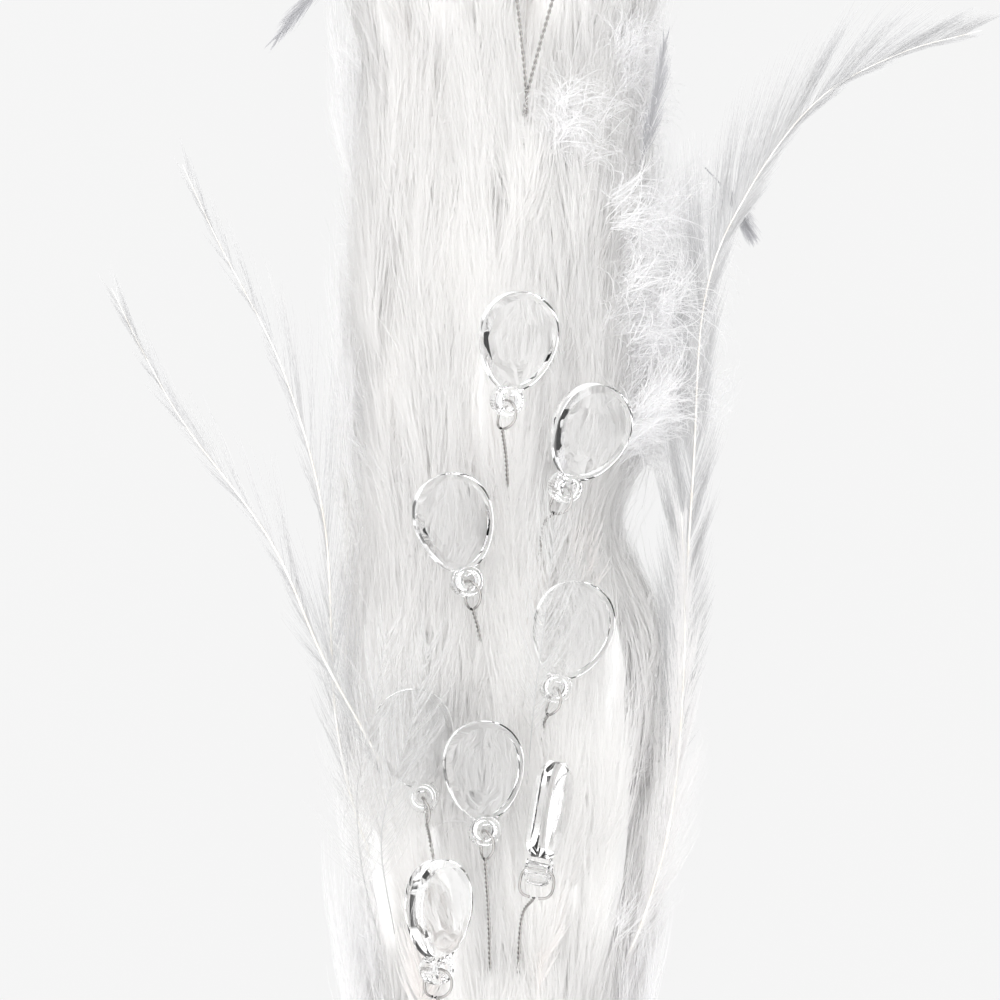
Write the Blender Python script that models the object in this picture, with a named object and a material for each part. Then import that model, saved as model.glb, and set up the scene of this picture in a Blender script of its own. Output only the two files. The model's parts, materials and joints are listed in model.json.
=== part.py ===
"""White feather boa trimmed with wired crystal drops, laid down in a long oval.

Lengths are in metres and +Z is up. The boa is a cord with eight sprays bound along it. Each spray is
a bundle of plumes, some long hackle feathers and a cluster of faceted drops on twisted wire stems.
Every spray and its stretch of cord is one body, and the cord bends at the base of each spray.

A place on the boa is given by how far along its route it is, how far to the right of the route, and
how high above the surface that the boa lies on. The route runs up the near side through (0, 0),
round the top bend, and down the far side. The route's zero is the middle of the near side.
"""

import math

import bmesh
import bpy
from mathutils import Vector

# Route of the cord.
NEAR_SIDE_HALF = 0.153
BEND_RADIUS = 0.100
CORE_HEIGHT = 0.024
CORE_RADIUS = 0.0030
CORE_TIP_RADIUS = 0.0012
CORE_STEP = 0.015
CORE_SIDES = 8
HINGE_GAP = 0.0012

# Sprays, numbered from the tail of the boa to its head.
SPRAY_COUNT = 8
SPRAY_PITCH = 0.150
FIRST_BASE = -0.548
MIDDLE_SPRAY = 4
TAIL_END = -0.566
HEAD_END = 0.592

# Plume bundle: distance past the base of its spray, and radius of the bundle there.
PLUME_OUTLINE = (
    (0.014, 0.0070),
    (0.028, 0.0175),
    (0.046, 0.0268),
    (0.068, 0.0275),
    (0.092, 0.0272),
    (0.114, 0.0257),
    (0.128, 0.0235),
    (0.137, 0.0200),
)
PLUME_SIDES = 12
PLUME_BORE = 0.0038
PLUME_REST_BAND = 0.001
LAST_PLUME_SCALE = 0.60

# Thread binding at the base of each spray, and the knot at each end of the cord.
BINDING_START = 0.003
BINDING_LENGTH = 0.0096
BINDING_TURNS = 3
BINDING_RADIUS = 0.0052
BINDING_GROOVE = 0.0006
BINDING_BORE = 0.0034
BINDING_SIDES = 10
KNOT_LENGTH = 0.010
KNOT_RADIUS = 0.0060
KNOT_GAP = 0.0004

# Faceted drop.
DROP_LENGTH = 0.0168
DROP_WIDTH = 0.0132
DROP_THICKNESS = 0.0050
DROP_RIM = 0.0016
DROP_TABLE = 0.66
DROP_SIDES = 12
CLUSTER_DROP_SIDES = 8
DROP_TAPER = 0.16
NECK_RADIUS = 0.0023
NECK_THICKNESS = 0.0034
NECK_SIDES = 10
CLUSTER_NECK_SIDES = 6
HOLE_RADIUS = 0.0008
HOLE_TO_MIDDLE = 0.0100

# Wire stem. The loop goes through the hole in the drop's neck.
WIRE_RADIUS = 0.0003
WIRE_SIDES = 6
WIRE_CLEARANCE = 0.0005
LOOP_HALF_WIDTH = 0.0028
LOOP_HALF_LENGTH = 0.0024
LOOP_POINTS = 12
LOOP_SQUARENESS = 3.2
LOOP_START = -0.5 * math.pi
LOOP_SWEEP = 1.82 * math.pi
STEM_POINTS = 12
STEM_STEP = 0.0132
STEM_BOW = 1.6
STEM_SPACING = 0.0013
STEM_START = 0.0045

# Drops of the middle spray: hole's reach past the spray's base, side and height, direction that the
# drop points (degrees to the right of the route), turn about its own length, order at the binding.
MIDDLE_DROPS = {
    "drop_1": (0.1147, 0.0012, 0.0610, 10.0, 4.0, 4),
    "drop_2": (0.1002, 0.0110, 0.0560, 24.0, -8.0, 5),
    "drop_3": (0.0844, -0.0056, 0.0572, -12.0, 6.0, 3),
    "drop_4": (0.0665, 0.0094, 0.0562, 16.0, -6.0, 6),
    "drop_5": (0.0427, -0.0026, 0.0618, -1.0, 3.0, 2),
    "drop_6": (0.0360, 0.0065, 0.0592, 10.0, 82.0, 7),
    "drop_7": (0.0190, -0.0107, 0.0540, 2.0, 5.0, 0),
    "drop_8": (0.0480, -0.0130, 0.0555, -8.0, 3.0, 1),
}

# Drops of each other spray: distance past the base, side and height of the neck, and direction.
CLUSTER_DROPS = (
    (0.104, 0.006, 0.0560, 8.0),
    (0.074, -0.008, 0.0560, -14.0),
    (0.046, 0.009, 0.0545, 20.0),
)
CLUSTER_WIRE_RADIUS = 0.0004
CLUSTER_WIRE_SIDES = 5
CLUSTER_STEM_POINTS = 9
CLUSTER_CLEARANCE = 0.0011
CLUSTER_KNOT_RADIUS = 0.0016
CLUSTER_KNOT_HEIGHT = 0.0320
CLUSTER_KNOT_REACH = 0.0100

# Long hackle feathers: spray, widest half width, and hand-laid points (reach, side, height).
HACKLES = {
    "hackle_left_low": (4, 0.0042, (
        (0.014, -0.0086, 0.0330), (0.030, -0.0140, 0.0440), (0.050, -0.0190, 0.0460),
        (0.071, -0.0300, 0.0440), (0.091, -0.0390, 0.0450), (0.110, -0.0530, 0.0460),
        (0.122, -0.0600, 0.0465), (0.134, -0.0660, 0.0460))),
    "hackle_left_high": (4, 0.0042, (
        (0.016, -0.0110, 0.0290), (0.036, -0.0220, 0.0370), (0.060, -0.0280, 0.0380),
        (0.094, -0.0300, 0.0390), (0.120, -0.0370, 0.0410), (0.142, -0.0480, 0.0430),
        (0.155, -0.0540, 0.0440))),
    "hackle_right_high": (4, 0.0062, (
        (0.016, 0.0100, 0.0260), (0.034, 0.0230, 0.0300), (0.060, 0.0300, 0.0320),
        (0.100, 0.0330, 0.0340), (0.132, 0.0350, 0.0370), (0.150, 0.0420, 0.0400),
        (0.166, 0.0540, 0.0420), (0.174, 0.0680, 0.0430), (0.178, 0.0820, 0.0430))),
    "hackle_right_low": (4, 0.0040, (
        (0.006, 0.0100, 0.0330), (0.018, 0.0210, 0.0400), (0.034, 0.0270, 0.0430),
        (0.050, 0.0300, 0.0430), (0.074, 0.0315, 0.0420), (0.096, 0.0310, 0.0410))),
    "hackle_tail": (1, 0.0050, (
        (0.014, 0.0080, 0.0300), (0.040, 0.0270, 0.0360), (0.070, 0.0320, 0.0380),
        (0.100, 0.0400, 0.0400), (0.126, 0.0560, 0.0420))),
    "hackle_top": (6, 0.0050, (
        (0.014, -0.0080, 0.0300), (0.040, -0.0270, 0.0360), (0.066, -0.0320, 0.0380),
        (0.094, -0.0440, 0.0400), (0.114, -0.0600, 0.0420))),
    "hackle_bottom": (2, 0.0050, (
        (0.014, -0.0080, 0.0300), (0.040, -0.0270, 0.0360), (0.066, -0.0320, 0.0380),
        (0.094, -0.0440, 0.0400), (0.114, -0.0600, 0.0420))),
}
HACKLE_THICKNESS = 0.0005
HACKLE_SIDES = 6
QUILL_RADIUS = 0.0005
HACKLE_STEP = 0.010

COLOURS = {
    "plume": ((0.90, 0.89, 0.87, 1.0), 0.85, 0.0),
    "hackle": ((0.86, 0.84, 0.79, 1.0), 0.70, 0.0),
    "cord": ((0.82, 0.80, 0.76, 1.0), 0.90, 0.0),
    "thread": ((0.88, 0.87, 0.85, 1.0), 0.80, 0.0),
    "crystal": ((0.95, 0.96, 0.97, 0.35), 0.04, 0.0),
    "wire": ((0.62, 0.61, 0.60, 1.0), 0.25, 1.0),
}

UP = Vector((0.0, 0.0, 1.0))


# --- Route and places -----------------------------------------------------------------------------

def route_point(distance):
    """Point of the cord's centre line, seen from above, at a distance along the route."""
    along = abs(distance)
    half_turn = math.pi * BEND_RADIUS
    if along <= NEAR_SIDE_HALF:
        point = Vector((0.0, along, 0.0))
    elif along <= NEAR_SIDE_HALF + half_turn:
        angle = (along - NEAR_SIDE_HALF) / BEND_RADIUS
        point = Vector((BEND_RADIUS * (1.0 - math.cos(angle)),
                        NEAR_SIDE_HALF + BEND_RADIUS * math.sin(angle), 0.0))
    else:
        past = along - NEAR_SIDE_HALF - half_turn
        point = Vector((2.0 * BEND_RADIUS, NEAR_SIDE_HALF - past, 0.0))
    if distance < 0.0:
        point.y = -point.y
    return point


def route_heading(distance):
    """Unit vector along the route, towards the head of the boa."""
    along = abs(distance)
    turn = min(max((along - NEAR_SIDE_HALF) / BEND_RADIUS, 0.0), math.pi)
    if distance < 0.0:
        return Vector((-math.sin(turn), math.cos(turn), 0.0))
    return Vector((math.sin(turn), math.cos(turn), 0.0))


def route_right(distance):
    heading = route_heading(distance)
    return Vector((heading.y, -heading.x, 0.0))


def place(distance, side, height):
    """Point in space from a distance along the route, an offset to its right and a height."""
    return route_point(distance) + route_right(distance) * side + UP * height


def spray_base(number):
    return FIRST_BASE + SPRAY_PITCH * (number - 1)


def plume_scale(number):
    return LAST_PLUME_SCALE if number == SPRAY_COUNT else 1.0


def plume_radius(reach, scale):
    """Radius of a plume bundle at a distance past the base of its spray."""
    previous = PLUME_OUTLINE[0]
    reach = previous[0] + (reach - previous[0]) / scale
    if reach <= previous[0]:
        return previous[1]
    for station in PLUME_OUTLINE[1:]:
        if reach <= station[0]:
            share = (reach - previous[0]) / (station[0] - previous[0])
            return previous[1] + share * (station[1] - previous[1])
        previous = station
    return previous[1]


def height_over_plume(reach, side, scale, clearance):
    """Lowest height that keeps a thin piece clear of the plume bundle and of the binding."""
    radius = max(plume_radius(reach + clearance, scale), BINDING_RADIUS) + clearance
    return CORE_HEIGHT + math.sqrt(max(radius ** 2 - side ** 2, 0.0))


def smooth_route(points, step):
    """Points at even steps on a smooth curve through hand-laid points."""
    ends = [points[0] * 2.0 - points[1]] + list(points) + [points[-1] * 2.0 - points[-2]]
    route = []
    for index in range(1, len(ends) - 2):
        before, start, end, after = ends[index - 1:index + 3]
        count = max(1, round((end - start).length / step))
        for part in range(count):
            t = part / count
            route.append(0.5 * (2.0 * start + (end - before) * t
                                + (2.0 * before - 5.0 * start + 4.0 * end - after) * t ** 2
                                + (3.0 * start - before - 3.0 * end + after) * t ** 3))
    route.append(points[-1].copy())
    return route


# --- Bodies and objects ---------------------------------------------------------------------------

def clear_scene():
    for obj in list(bpy.data.objects):
        bpy.data.objects.remove(obj, do_unlink=True)


def make_material(slot):
    colour, roughness, metallic = COLOURS[slot]
    material = bpy.data.materials.new(slot)
    material.use_nodes = True
    shader = material.node_tree.nodes["Principled BSDF"]
    shader.inputs["Base Color"].default_value = colour
    shader.inputs["Roughness"].default_value = roughness
    shader.inputs["Metallic"].default_value = metallic
    shader.inputs["Alpha"].default_value = colour[3]
    return material


class Body:
    """A rigid group of objects, held by an empty that stands on the group's joint."""

    def __init__(self, name, pivot, parent=None):
        self.pivot = pivot
        self.empty = bpy.data.objects.new("joint_" + name, None)
        bpy.context.collection.objects.link(self.empty)
        self.empty.location = pivot
        if parent is not None:
            self.empty.parent = parent.empty
            self.empty.location = pivot - parent.pivot

    def add(self, name, mesh, slot):
        """Object of this body from a bmesh that is in the layout's own coordinates."""
        bmesh.ops.recalc_face_normals(mesh, faces=mesh.faces)
        bmesh.ops.translate(mesh, verts=mesh.verts, vec=-self.pivot)
        data = bpy.data.meshes.new(name)
        mesh.to_mesh(data)
        mesh.free()
        data.shade_smooth()
        data.set_sharp_from_angle(angle=math.radians(30.0))
        data.materials.append(MATERIALS[slot])
        obj = bpy.data.objects.new(name, data)
        bpy.context.collection.objects.link(obj)
        obj.parent = self.empty
        return obj


def skin_rings(mesh, rings, closed=False):
    """Skin equal rings of points into a surface and return the rings' vertices."""
    ring_verts = [[mesh.verts.new(point) for point in ring] for ring in rings]
    count = len(rings[0])
    pairs = list(zip(ring_verts, ring_verts[1:]))
    if closed:
        pairs.append((ring_verts[-1], ring_verts[0]))
    for first, second in pairs:
        for index in range(count):
            after = (index + 1) % count
            mesh.faces.new((first[index], first[after], second[after], second[index]))
    return ring_verts


def cap_ends(mesh, ring_verts):
    mesh.faces.new(list(reversed(ring_verts[0])))
    mesh.faces.new(ring_verts[-1])


def ring_about(centre, across, over, half_width, half_height, sides):
    """Points of an ellipse about a centre, in the plane of two unit vectors."""
    points = []
    for index in range(sides):
        angle = 2.0 * math.pi * index / sides
        points.append(centre + across * (half_width * math.cos(angle))
                      + over * (half_height * math.sin(angle)))
    return points


def directions(points):
    """Unit tangents of a line of points."""
    tangents = []
    for index in range(len(points)):
        before = points[max(index - 1, 0)]
        after = points[min(index + 1, len(points) - 1)]
        tangents.append((after - before).normalized())
    return tangents


def carried_frames(points):
    """Two unit vectors across the line at each point, carried along it without twist."""
    tangents = directions(points)
    start = UP if abs(tangents[0].z) < 0.9 else Vector((1.0, 0.0, 0.0))
    across = tangents[0].cross(start).normalized()
    frames = []
    for tangent in tangents:
        across = (across - tangent * across.dot(tangent)).normalized()
        frames.append((across, tangent.cross(across)))
    return frames


def tube(points, radii, sides):
    """Closed tube along a line of points."""
    mesh = bmesh.new()
    rings = []
    for point, (across, over), radius in zip(points, carried_frames(points), radii):
        rings.append(ring_about(point, across, over, radius, radius, sides))
    cap_ends(mesh, skin_rings(mesh, rings))
    return mesh


def sleeve(outer_rings, inner_rings):
    """Closed body with a bore, from its outer and inner rings."""
    mesh = bmesh.new()
    outline = list(outer_rings) + list(reversed(inner_rings))
    skin_rings(mesh, outline, closed=True)
    return mesh


def combine(target, others, operation):
    """Result of a Boolean operation on one solid and several others."""
    data = bpy.data.meshes.new("solid")
    bmesh.ops.recalc_face_normals(target, faces=target.faces)
    target.to_mesh(data)
    target.free()
    carrier = bpy.data.objects.new("solid", data)
    bpy.context.collection.objects.link(carrier)
    tools = []
    for number, other in enumerate(others):
        tool_data = bpy.data.meshes.new("tool")
        bmesh.ops.recalc_face_normals(other, faces=other.faces)
        other.to_mesh(tool_data)
        other.free()
        tool = bpy.data.objects.new("tool", tool_data)
        bpy.context.collection.objects.link(tool)
        tools.append(tool)
        modifier = carrier.modifiers.new("tool_%d" % number, "BOOLEAN")
        modifier.operation = operation
        modifier.solver = "EXACT"
        modifier.object = tool
    bpy.context.view_layer.update()
    evaluated = carrier.evaluated_get(bpy.context.evaluated_depsgraph_get())
    result = bmesh.new()
    result.from_mesh(evaluated.to_mesh())
    evaluated.to_mesh_clear()
    for obj in tools + [carrier]:
        bpy.data.objects.remove(obj, do_unlink=True)
    bmesh.ops.remove_doubles(result, verts=result.verts, dist=0.00002)
    bmesh.ops.triangulate(result, faces=result.faces)
    return result


# --- Cord, bindings and knots ---------------------------------------------------------------------

def cord_span(number):
    """Start and end of a spray's stretch of cord, along the route."""
    start = TAIL_END if number == 1 else spray_base(number) + 0.5 * HINGE_GAP
    end = HEAD_END if number == SPRAY_COUNT else spray_base(number + 1) - 0.5 * HINGE_GAP
    return start, end


def cord_mesh(number):
    """Stretch of cord, pointed at both ends so that it can bend against its neighbours."""
    start, end = cord_span(number)
    count = round((end - start) / CORE_STEP)
    taper = CORE_RADIUS
    stops = [start, start + taper]
    stops += [start + (end - start) * index / count for index in range(1, count)]
    stops += [end - taper, end]
    points = [place(stop, 0.0, CORE_HEIGHT) for stop in stops]
    radii = [CORE_TIP_RADIUS] + [CORE_RADIUS] * (len(stops) - 2) + [CORE_TIP_RADIUS]
    return tube(points, radii, CORE_SIDES)


def ring_at(distance, radius, sides):
    """Ring round the cord, lying across the route."""
    centre = place(distance, 0.0, CORE_HEIGHT)
    return ring_about(centre, route_right(distance), UP, radius, radius, sides)


def binding_mesh(number):
    """Turns of thread round the cord at the base of a spray."""
    start = spray_base(number) + BINDING_START
    pitch = BINDING_LENGTH / BINDING_TURNS
    outer = []
    for turn in range(BINDING_TURNS):
        edge = start + turn * pitch
        outer.append(ring_at(edge, BINDING_RADIUS - BINDING_GROOVE, BINDING_SIDES))
        outer.append(ring_at(edge + 0.5 * pitch, BINDING_RADIUS, BINDING_SIDES))
    end = start + BINDING_LENGTH
    outer.append(ring_at(end, BINDING_RADIUS - BINDING_GROOVE, BINDING_SIDES))
    inner = [ring_at(start, BINDING_BORE, BINDING_SIDES), ring_at(end, BINDING_BORE, BINDING_SIDES)]
    return sleeve(outer, inner)


def knot_mesh(start, direction):
    """Knot in the end of the cord, just past its pointed tip."""
    rings = []
    for share, width in ((0.0, 0.45), (0.18, 0.85), (0.5, 1.0), (0.82, 0.85), (1.0, 0.4)):
        distance = start + direction * (KNOT_GAP + share * KNOT_LENGTH)
        rings.append(ring_at(distance, KNOT_RADIUS * width, BINDING_SIDES))
    mesh = bmesh.new()
    cap_ends(mesh, skin_rings(mesh, rings))
    return mesh


# --- Plumes and hackles ---------------------------------------------------------------------------

def plume_mesh(number):
    """Bundle of plumes round the cord, flat where it lies on the surface below."""
    base = spray_base(number)
    scale = plume_scale(number)
    outer = []
    inner = []
    for reach, radius in PLUME_OUTLINE:
        distance = base + PLUME_OUTLINE[0][0] + (reach - PLUME_OUTLINE[0][0]) * scale
        ring = ring_at(distance, radius, PLUME_SIDES)
        for point in ring:
            if point.z < PLUME_REST_BAND:
                point.z = 0.0
        outer.append(ring)
        inner.append(ring_at(distance, PLUME_BORE, PLUME_SIDES))
    return sleeve(outer, inner)


def hackle_width(share, widest):
    """Half width of a hackle at a share of its length: bare quill, vane, then a fine tip."""
    vane = max(share - 0.35, 0.0) / 0.65
    return QUILL_RADIUS + widest * math.sin(math.pi * vane ** 0.8) ** 0.8 if vane < 1.0 else QUILL_RADIUS


def hackle_mesh(number, widest, laid):
    """Flat blade of one long feather, from its quill at the binding to its tip."""
    base = spray_base(number)
    points = smooth_route([place(base + reach, side, height) for reach, side, height in laid], HACKLE_STEP)
    tangents = directions(points)
    mesh = bmesh.new()
    rings = []
    for index, point in enumerate(points):
        across = tangents[index].cross(UP).normalized()
        over = across.cross(tangents[index])
        half_width = hackle_width(index / (len(points) - 1), widest)
        rings.append(ring_about(point, across, over, half_width, HACKLE_THICKNESS, HACKLE_SIDES))
    cap_ends(mesh, skin_rings(mesh, rings))
    return mesh


# --- Drops and wires ------------------------------------------------------------------------------

class DropFrame:
    """Place of a drop: its hole, the way that it points, its width and the axis of its hole."""

    def __init__(self, distance, side, height, pointing, turn):
        self.hole = place(distance, side, height)
        angle = math.radians(pointing)
        roll = math.radians(turn)
        heading = route_heading(distance)
        right = route_right(distance)
        self.along = heading * math.cos(angle) + right * math.sin(angle)
        flat = self.along.cross(UP)
        self.across = flat * math.cos(roll) + UP * math.sin(roll)
        self.through = self.across.cross(self.along)

    def point(self, along, across, through):
        return self.hole + self.along * along + self.across * across + self.through * through


def drop_outline(frame, size, through, sides):
    """Ring of a drop's outline: an oval that is a little narrower at the neck."""
    ring = []
    for index in range(sides):
        angle = 2.0 * math.pi * (index + 0.5) / sides
        along = 0.5 * DROP_LENGTH * math.cos(angle)
        width = 0.5 * DROP_WIDTH * math.sin(angle) * (1.0 + DROP_TAPER * math.cos(angle))
        ring.append(frame.point(HOLE_TO_MIDDLE + along * size, width * size, through))
    return ring


def drop_body(frame, sides):
    """Cut body of a drop: a flat table on each face, slopes and a narrow rim."""
    half = 0.5 * DROP_THICKNESS
    rim = 0.5 * DROP_RIM
    rings = [drop_outline(frame, DROP_TABLE, -half, sides), drop_outline(frame, 1.0, -rim, sides),
             drop_outline(frame, 1.0, rim, sides), drop_outline(frame, DROP_TABLE, half, sides)]
    mesh = bmesh.new()
    cap_ends(mesh, skin_rings(mesh, rings))
    return mesh


def neck_body(frame, sides):
    """Short round neck at the narrow end of a drop."""
    half = 0.5 * NECK_THICKNESS
    rings = []
    for through, size in ((-half, 0.8), (-0.6 * half, 1.0), (0.6 * half, 1.0), (half, 0.8)):
        centre = frame.point(0.0, 0.0, through)
        radius = NECK_RADIUS * size
        rings.append(ring_about(centre, frame.along, frame.across, radius, radius, sides))
    mesh = bmesh.new()
    cap_ends(mesh, skin_rings(mesh, rings))
    return mesh


def hole_cutter(frame):
    ends = [frame.point(0.0, 0.0, -NECK_THICKNESS), frame.point(0.0, 0.0, NECK_THICKNESS)]
    return tube(ends, [HOLE_RADIUS, HOLE_RADIUS], NECK_SIDES)


def drop_mesh(frame):
    """Drop with a real hole through its neck."""
    whole = combine(drop_body(frame, DROP_SIDES), [neck_body(frame, NECK_SIDES)], "UNION")
    return combine(whole, [hole_cutter(frame)], "DIFFERENCE")


def loop_points(frame):
    """Wire from the foot of the loop, through the hole and nearly back to its start."""
    points = []
    for index in range(LOOP_POINTS):
        angle = LOOP_START - LOOP_SWEEP * index / (LOOP_POINTS - 1)
        power = 2.0 / LOOP_SQUARENESS
        sideways = math.copysign(abs(math.cos(angle)) ** power, math.cos(angle))
        upwards = math.copysign(abs(math.sin(angle)) ** power, math.sin(angle))
        points.append(frame.point(LOOP_HALF_LENGTH * (upwards - 1.0), 0.0, LOOP_HALF_WIDTH * sideways))
    return points


def stem_points(number, start_side, foot_reach, foot_side, count, clearance):
    """Wire laid over the plumes, from the binding to the foot of a drop."""
    points = []
    for index in range(count):
        share = index / count
        reach = STEM_START + (foot_reach - STEM_START) * share
        side = start_side + (foot_side - start_side) * share ** STEM_BOW
        height = height_over_plume(reach, side, plume_scale(number), clearance)
        points.append(place(spray_base(number) + reach, side, height))
    return points


def stem_mesh(number, order, frame):
    """Stem and loop of one drop of the middle spray."""
    start_side = STEM_SPACING * (order - 0.5 * (len(MIDDLE_DROPS) - 1))
    loop = loop_points(frame)
    foot = loop[0] - place(spray_base(number), 0.0, 0.0)
    clearance = WIRE_RADIUS + WIRE_CLEARANCE
    below = foot.y - 2.0 * LOOP_HALF_LENGTH
    laid = stem_points(number, start_side, below, foot.x, STEM_POINTS, clearance)
    points = smooth_route(laid + [loop[0] - frame.along * LOOP_HALF_LENGTH], STEM_STEP)
    points += loop
    return tube(points, [WIRE_RADIUS] * len(points), WIRE_SIDES)


def cluster_mesh(number):
    """Drops and stems of one spray as a single solid, joined where the wires are twisted together."""
    base = spray_base(number)
    scale = plume_scale(number)
    pieces = []
    for reach, side, height, pointing in CLUSTER_DROPS:
        frame = DropFrame(base + reach * scale, side, height, pointing, 0.0)
        clearance = CLUSTER_WIRE_RADIUS + CLUSTER_CLEARANCE
        below = reach * scale - 2.0 * LOOP_HALF_LENGTH
        laid = stem_points(number, 0.0, below, side, CLUSTER_STEM_POINTS, clearance)
        laid = [place(base + CLUSTER_KNOT_REACH, 0.0, CLUSTER_KNOT_HEIGHT)] + laid[2:] + [frame.hole]
        stem = tube(laid, [CLUSTER_WIRE_RADIUS] * len(laid), CLUSTER_WIRE_SIDES)
        pieces += [stem, neck_body(frame, CLUSTER_NECK_SIDES), drop_body(frame, CLUSTER_DROP_SIDES)]
    knot = bmesh.new()
    bmesh.ops.create_icosphere(knot, subdivisions=1, radius=CLUSTER_KNOT_RADIUS)
    bmesh.ops.translate(knot, verts=knot.verts,
                        vec=place(base + CLUSTER_KNOT_REACH, 0.0, CLUSTER_KNOT_HEIGHT))
    return combine(knot, pieces, "UNION")


# --- Assembly -------------------------------------------------------------------------------------

def make_bodies():
    """One body for each spray, chained outwards from the middle one."""
    bodies = {MIDDLE_SPRAY: Body("length_%d" % MIDDLE_SPRAY, Vector((0.0, 0.0, 0.0)))}
    for number in range(MIDDLE_SPRAY - 1, 0, -1):
        pivot = place(spray_base(number + 1), 0.0, CORE_HEIGHT)
        bodies[number] = Body("length_%d" % number, pivot, bodies[number + 1])
    for number in range(MIDDLE_SPRAY + 1, SPRAY_COUNT + 1):
        pivot = place(spray_base(number), 0.0, CORE_HEIGHT)
        bodies[number] = Body("length_%d" % number, pivot, bodies[number - 1])
    return bodies


def build_lengths(bodies):
    """Cord, binding, plumes, crystals and hackles of each spray."""
    for number, body in bodies.items():
        body.add("cord_%d" % number, cord_mesh(number), "cord")
        body.add("binding_%d" % number, binding_mesh(number), "thread")
        body.add("plumes_%d" % number, plume_mesh(number), "plume")
        if number != MIDDLE_SPRAY:
            body.add("crystals_%d" % number, cluster_mesh(number), "crystal")
    bodies[1].add("knot_tail", knot_mesh(TAIL_END, -1.0), "cord")
    bodies[SPRAY_COUNT].add("knot_head", knot_mesh(HEAD_END, 1.0), "cord")
    for name, (number, widest, laid) in HACKLES.items():
        bodies[number].add(name, hackle_mesh(number, widest, laid), "hackle")


def build_middle_drops(middle):
    """Each drop of the middle spray hangs on the wire loop that goes through its neck."""
    base = spray_base(MIDDLE_SPRAY)
    for name, numbers in MIDDLE_DROPS.items():
        reach, side, height, pointing, turn, order = numbers
        frame = DropFrame(base + reach, side, height, pointing, turn)
        middle.add("stem_" + name, stem_mesh(MIDDLE_SPRAY, order, frame), "wire")
        hanging = Body(name, frame.hole, middle)
        hanging.add("crystal_" + name, drop_mesh(frame), "crystal")


def stand_at_origin(root):
    """Move the whole boa so that the middle of its footprint is at the origin."""
    bpy.context.view_layer.update()
    corners = [obj.matrix_world @ Vector(corner)
               for obj in bpy.data.objects if obj.type == "MESH" for corner in obj.bound_box]
    for axis in (0, 1):
        values = [corner[axis] for corner in corners]
        root.empty.location[axis] -= 0.5 * (min(values) + max(values))


clear_scene()
MATERIALS = {slot: make_material(slot) for slot in COLOURS}
BODIES = make_bodies()
build_lengths(BODIES)
build_middle_drops(BODIES[MIDDLE_SPRAY])
stand_at_origin(BODIES[MIDDLE_SPRAY])
bpy.context.view_layer.update()
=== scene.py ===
import json
import math

import bmesh
import bpy
import numpy as np
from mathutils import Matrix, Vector


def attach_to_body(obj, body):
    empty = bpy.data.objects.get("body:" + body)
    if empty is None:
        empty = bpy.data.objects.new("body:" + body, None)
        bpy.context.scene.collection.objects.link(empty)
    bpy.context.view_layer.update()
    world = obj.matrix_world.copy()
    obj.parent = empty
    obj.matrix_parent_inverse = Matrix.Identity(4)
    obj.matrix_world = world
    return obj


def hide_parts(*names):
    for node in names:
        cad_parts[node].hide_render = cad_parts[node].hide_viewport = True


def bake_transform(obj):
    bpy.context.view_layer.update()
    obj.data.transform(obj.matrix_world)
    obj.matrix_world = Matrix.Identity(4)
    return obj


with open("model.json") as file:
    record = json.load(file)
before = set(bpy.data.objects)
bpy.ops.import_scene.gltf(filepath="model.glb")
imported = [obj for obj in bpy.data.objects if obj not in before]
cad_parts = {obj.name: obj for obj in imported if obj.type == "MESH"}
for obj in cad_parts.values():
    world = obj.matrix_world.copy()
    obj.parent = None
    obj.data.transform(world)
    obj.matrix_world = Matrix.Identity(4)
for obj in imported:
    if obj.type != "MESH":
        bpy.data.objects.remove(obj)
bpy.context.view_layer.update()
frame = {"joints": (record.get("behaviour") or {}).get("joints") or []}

# Lengths are in metres. The route of the cord and the places of the sprays are the frame's own. A place
# on the boa is its reach (distance past the base of its spray), its angle round the cord (0 is straight
# up, a quarter turn is to the right) and its radius from the cord's axis. The middle spray, the fourth,
# is the one seen close; its drops and feathers are laid out one by one.
SPRAY_COUNT = 8
SPRAY_PITCH = 0.150
MIDDLE_SPRAY = 4
FIFTH_BASE = 0.052
NEAR_SIDE_HALF = 0.153
BEND_RADIUS = 0.100
CORE_HEIGHT = 0.024
TAIL_END = -0.566
HEAD_END = 0.592
JOINTS = {joint["name"]: joint for joint in frame["joints"]}
FIFTH_PIVOT = np.array(JOINTS["spine_bend_4_5"]["pos_m"])
ROUTE_ZERO = FIFTH_PIVOT - np.array([0.0, FIFTH_BASE, CORE_HEIGHT])
UP = np.array([0.0, 0.0, 1.0])
SEED = 20


# --- Camera, light and floor ----------------------------------------------------------------------

FRAME_SIDE = 0.170
CAMERA_DISTANCE = 1.10
FOCUS_HEIGHT = 0.045
SENSOR = 36.0
BACKDROP_WHITE = 0.922
SKY_STRENGTH = 1.92
SKY_AXIS = (0.14, 0.05, 1.0)
SKY_BANDS = ((0.0, (0.52, 0.515, 0.515)), (0.16, (0.82, 0.815, 0.815)), (0.34, (0.93, 0.93, 0.935)),
             (0.62, (1.0, 1.0, 1.0)))
DARK_CARD = (0.985, 0.0, 0.17)
DARK_CARD_EDGE = (0.92, 0.95)
DARK_CARD_SHARE = 0.02
KEY_ENERGY = 0.7
KEY_SIZE = 0.8
KEY_PLACE = np.array([-0.3, 0.3, 1.6])
FLOOR_SIDE = 12.0
FLOOR_GLOW = 0.90
FLOOR_BASE = 0.010


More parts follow.
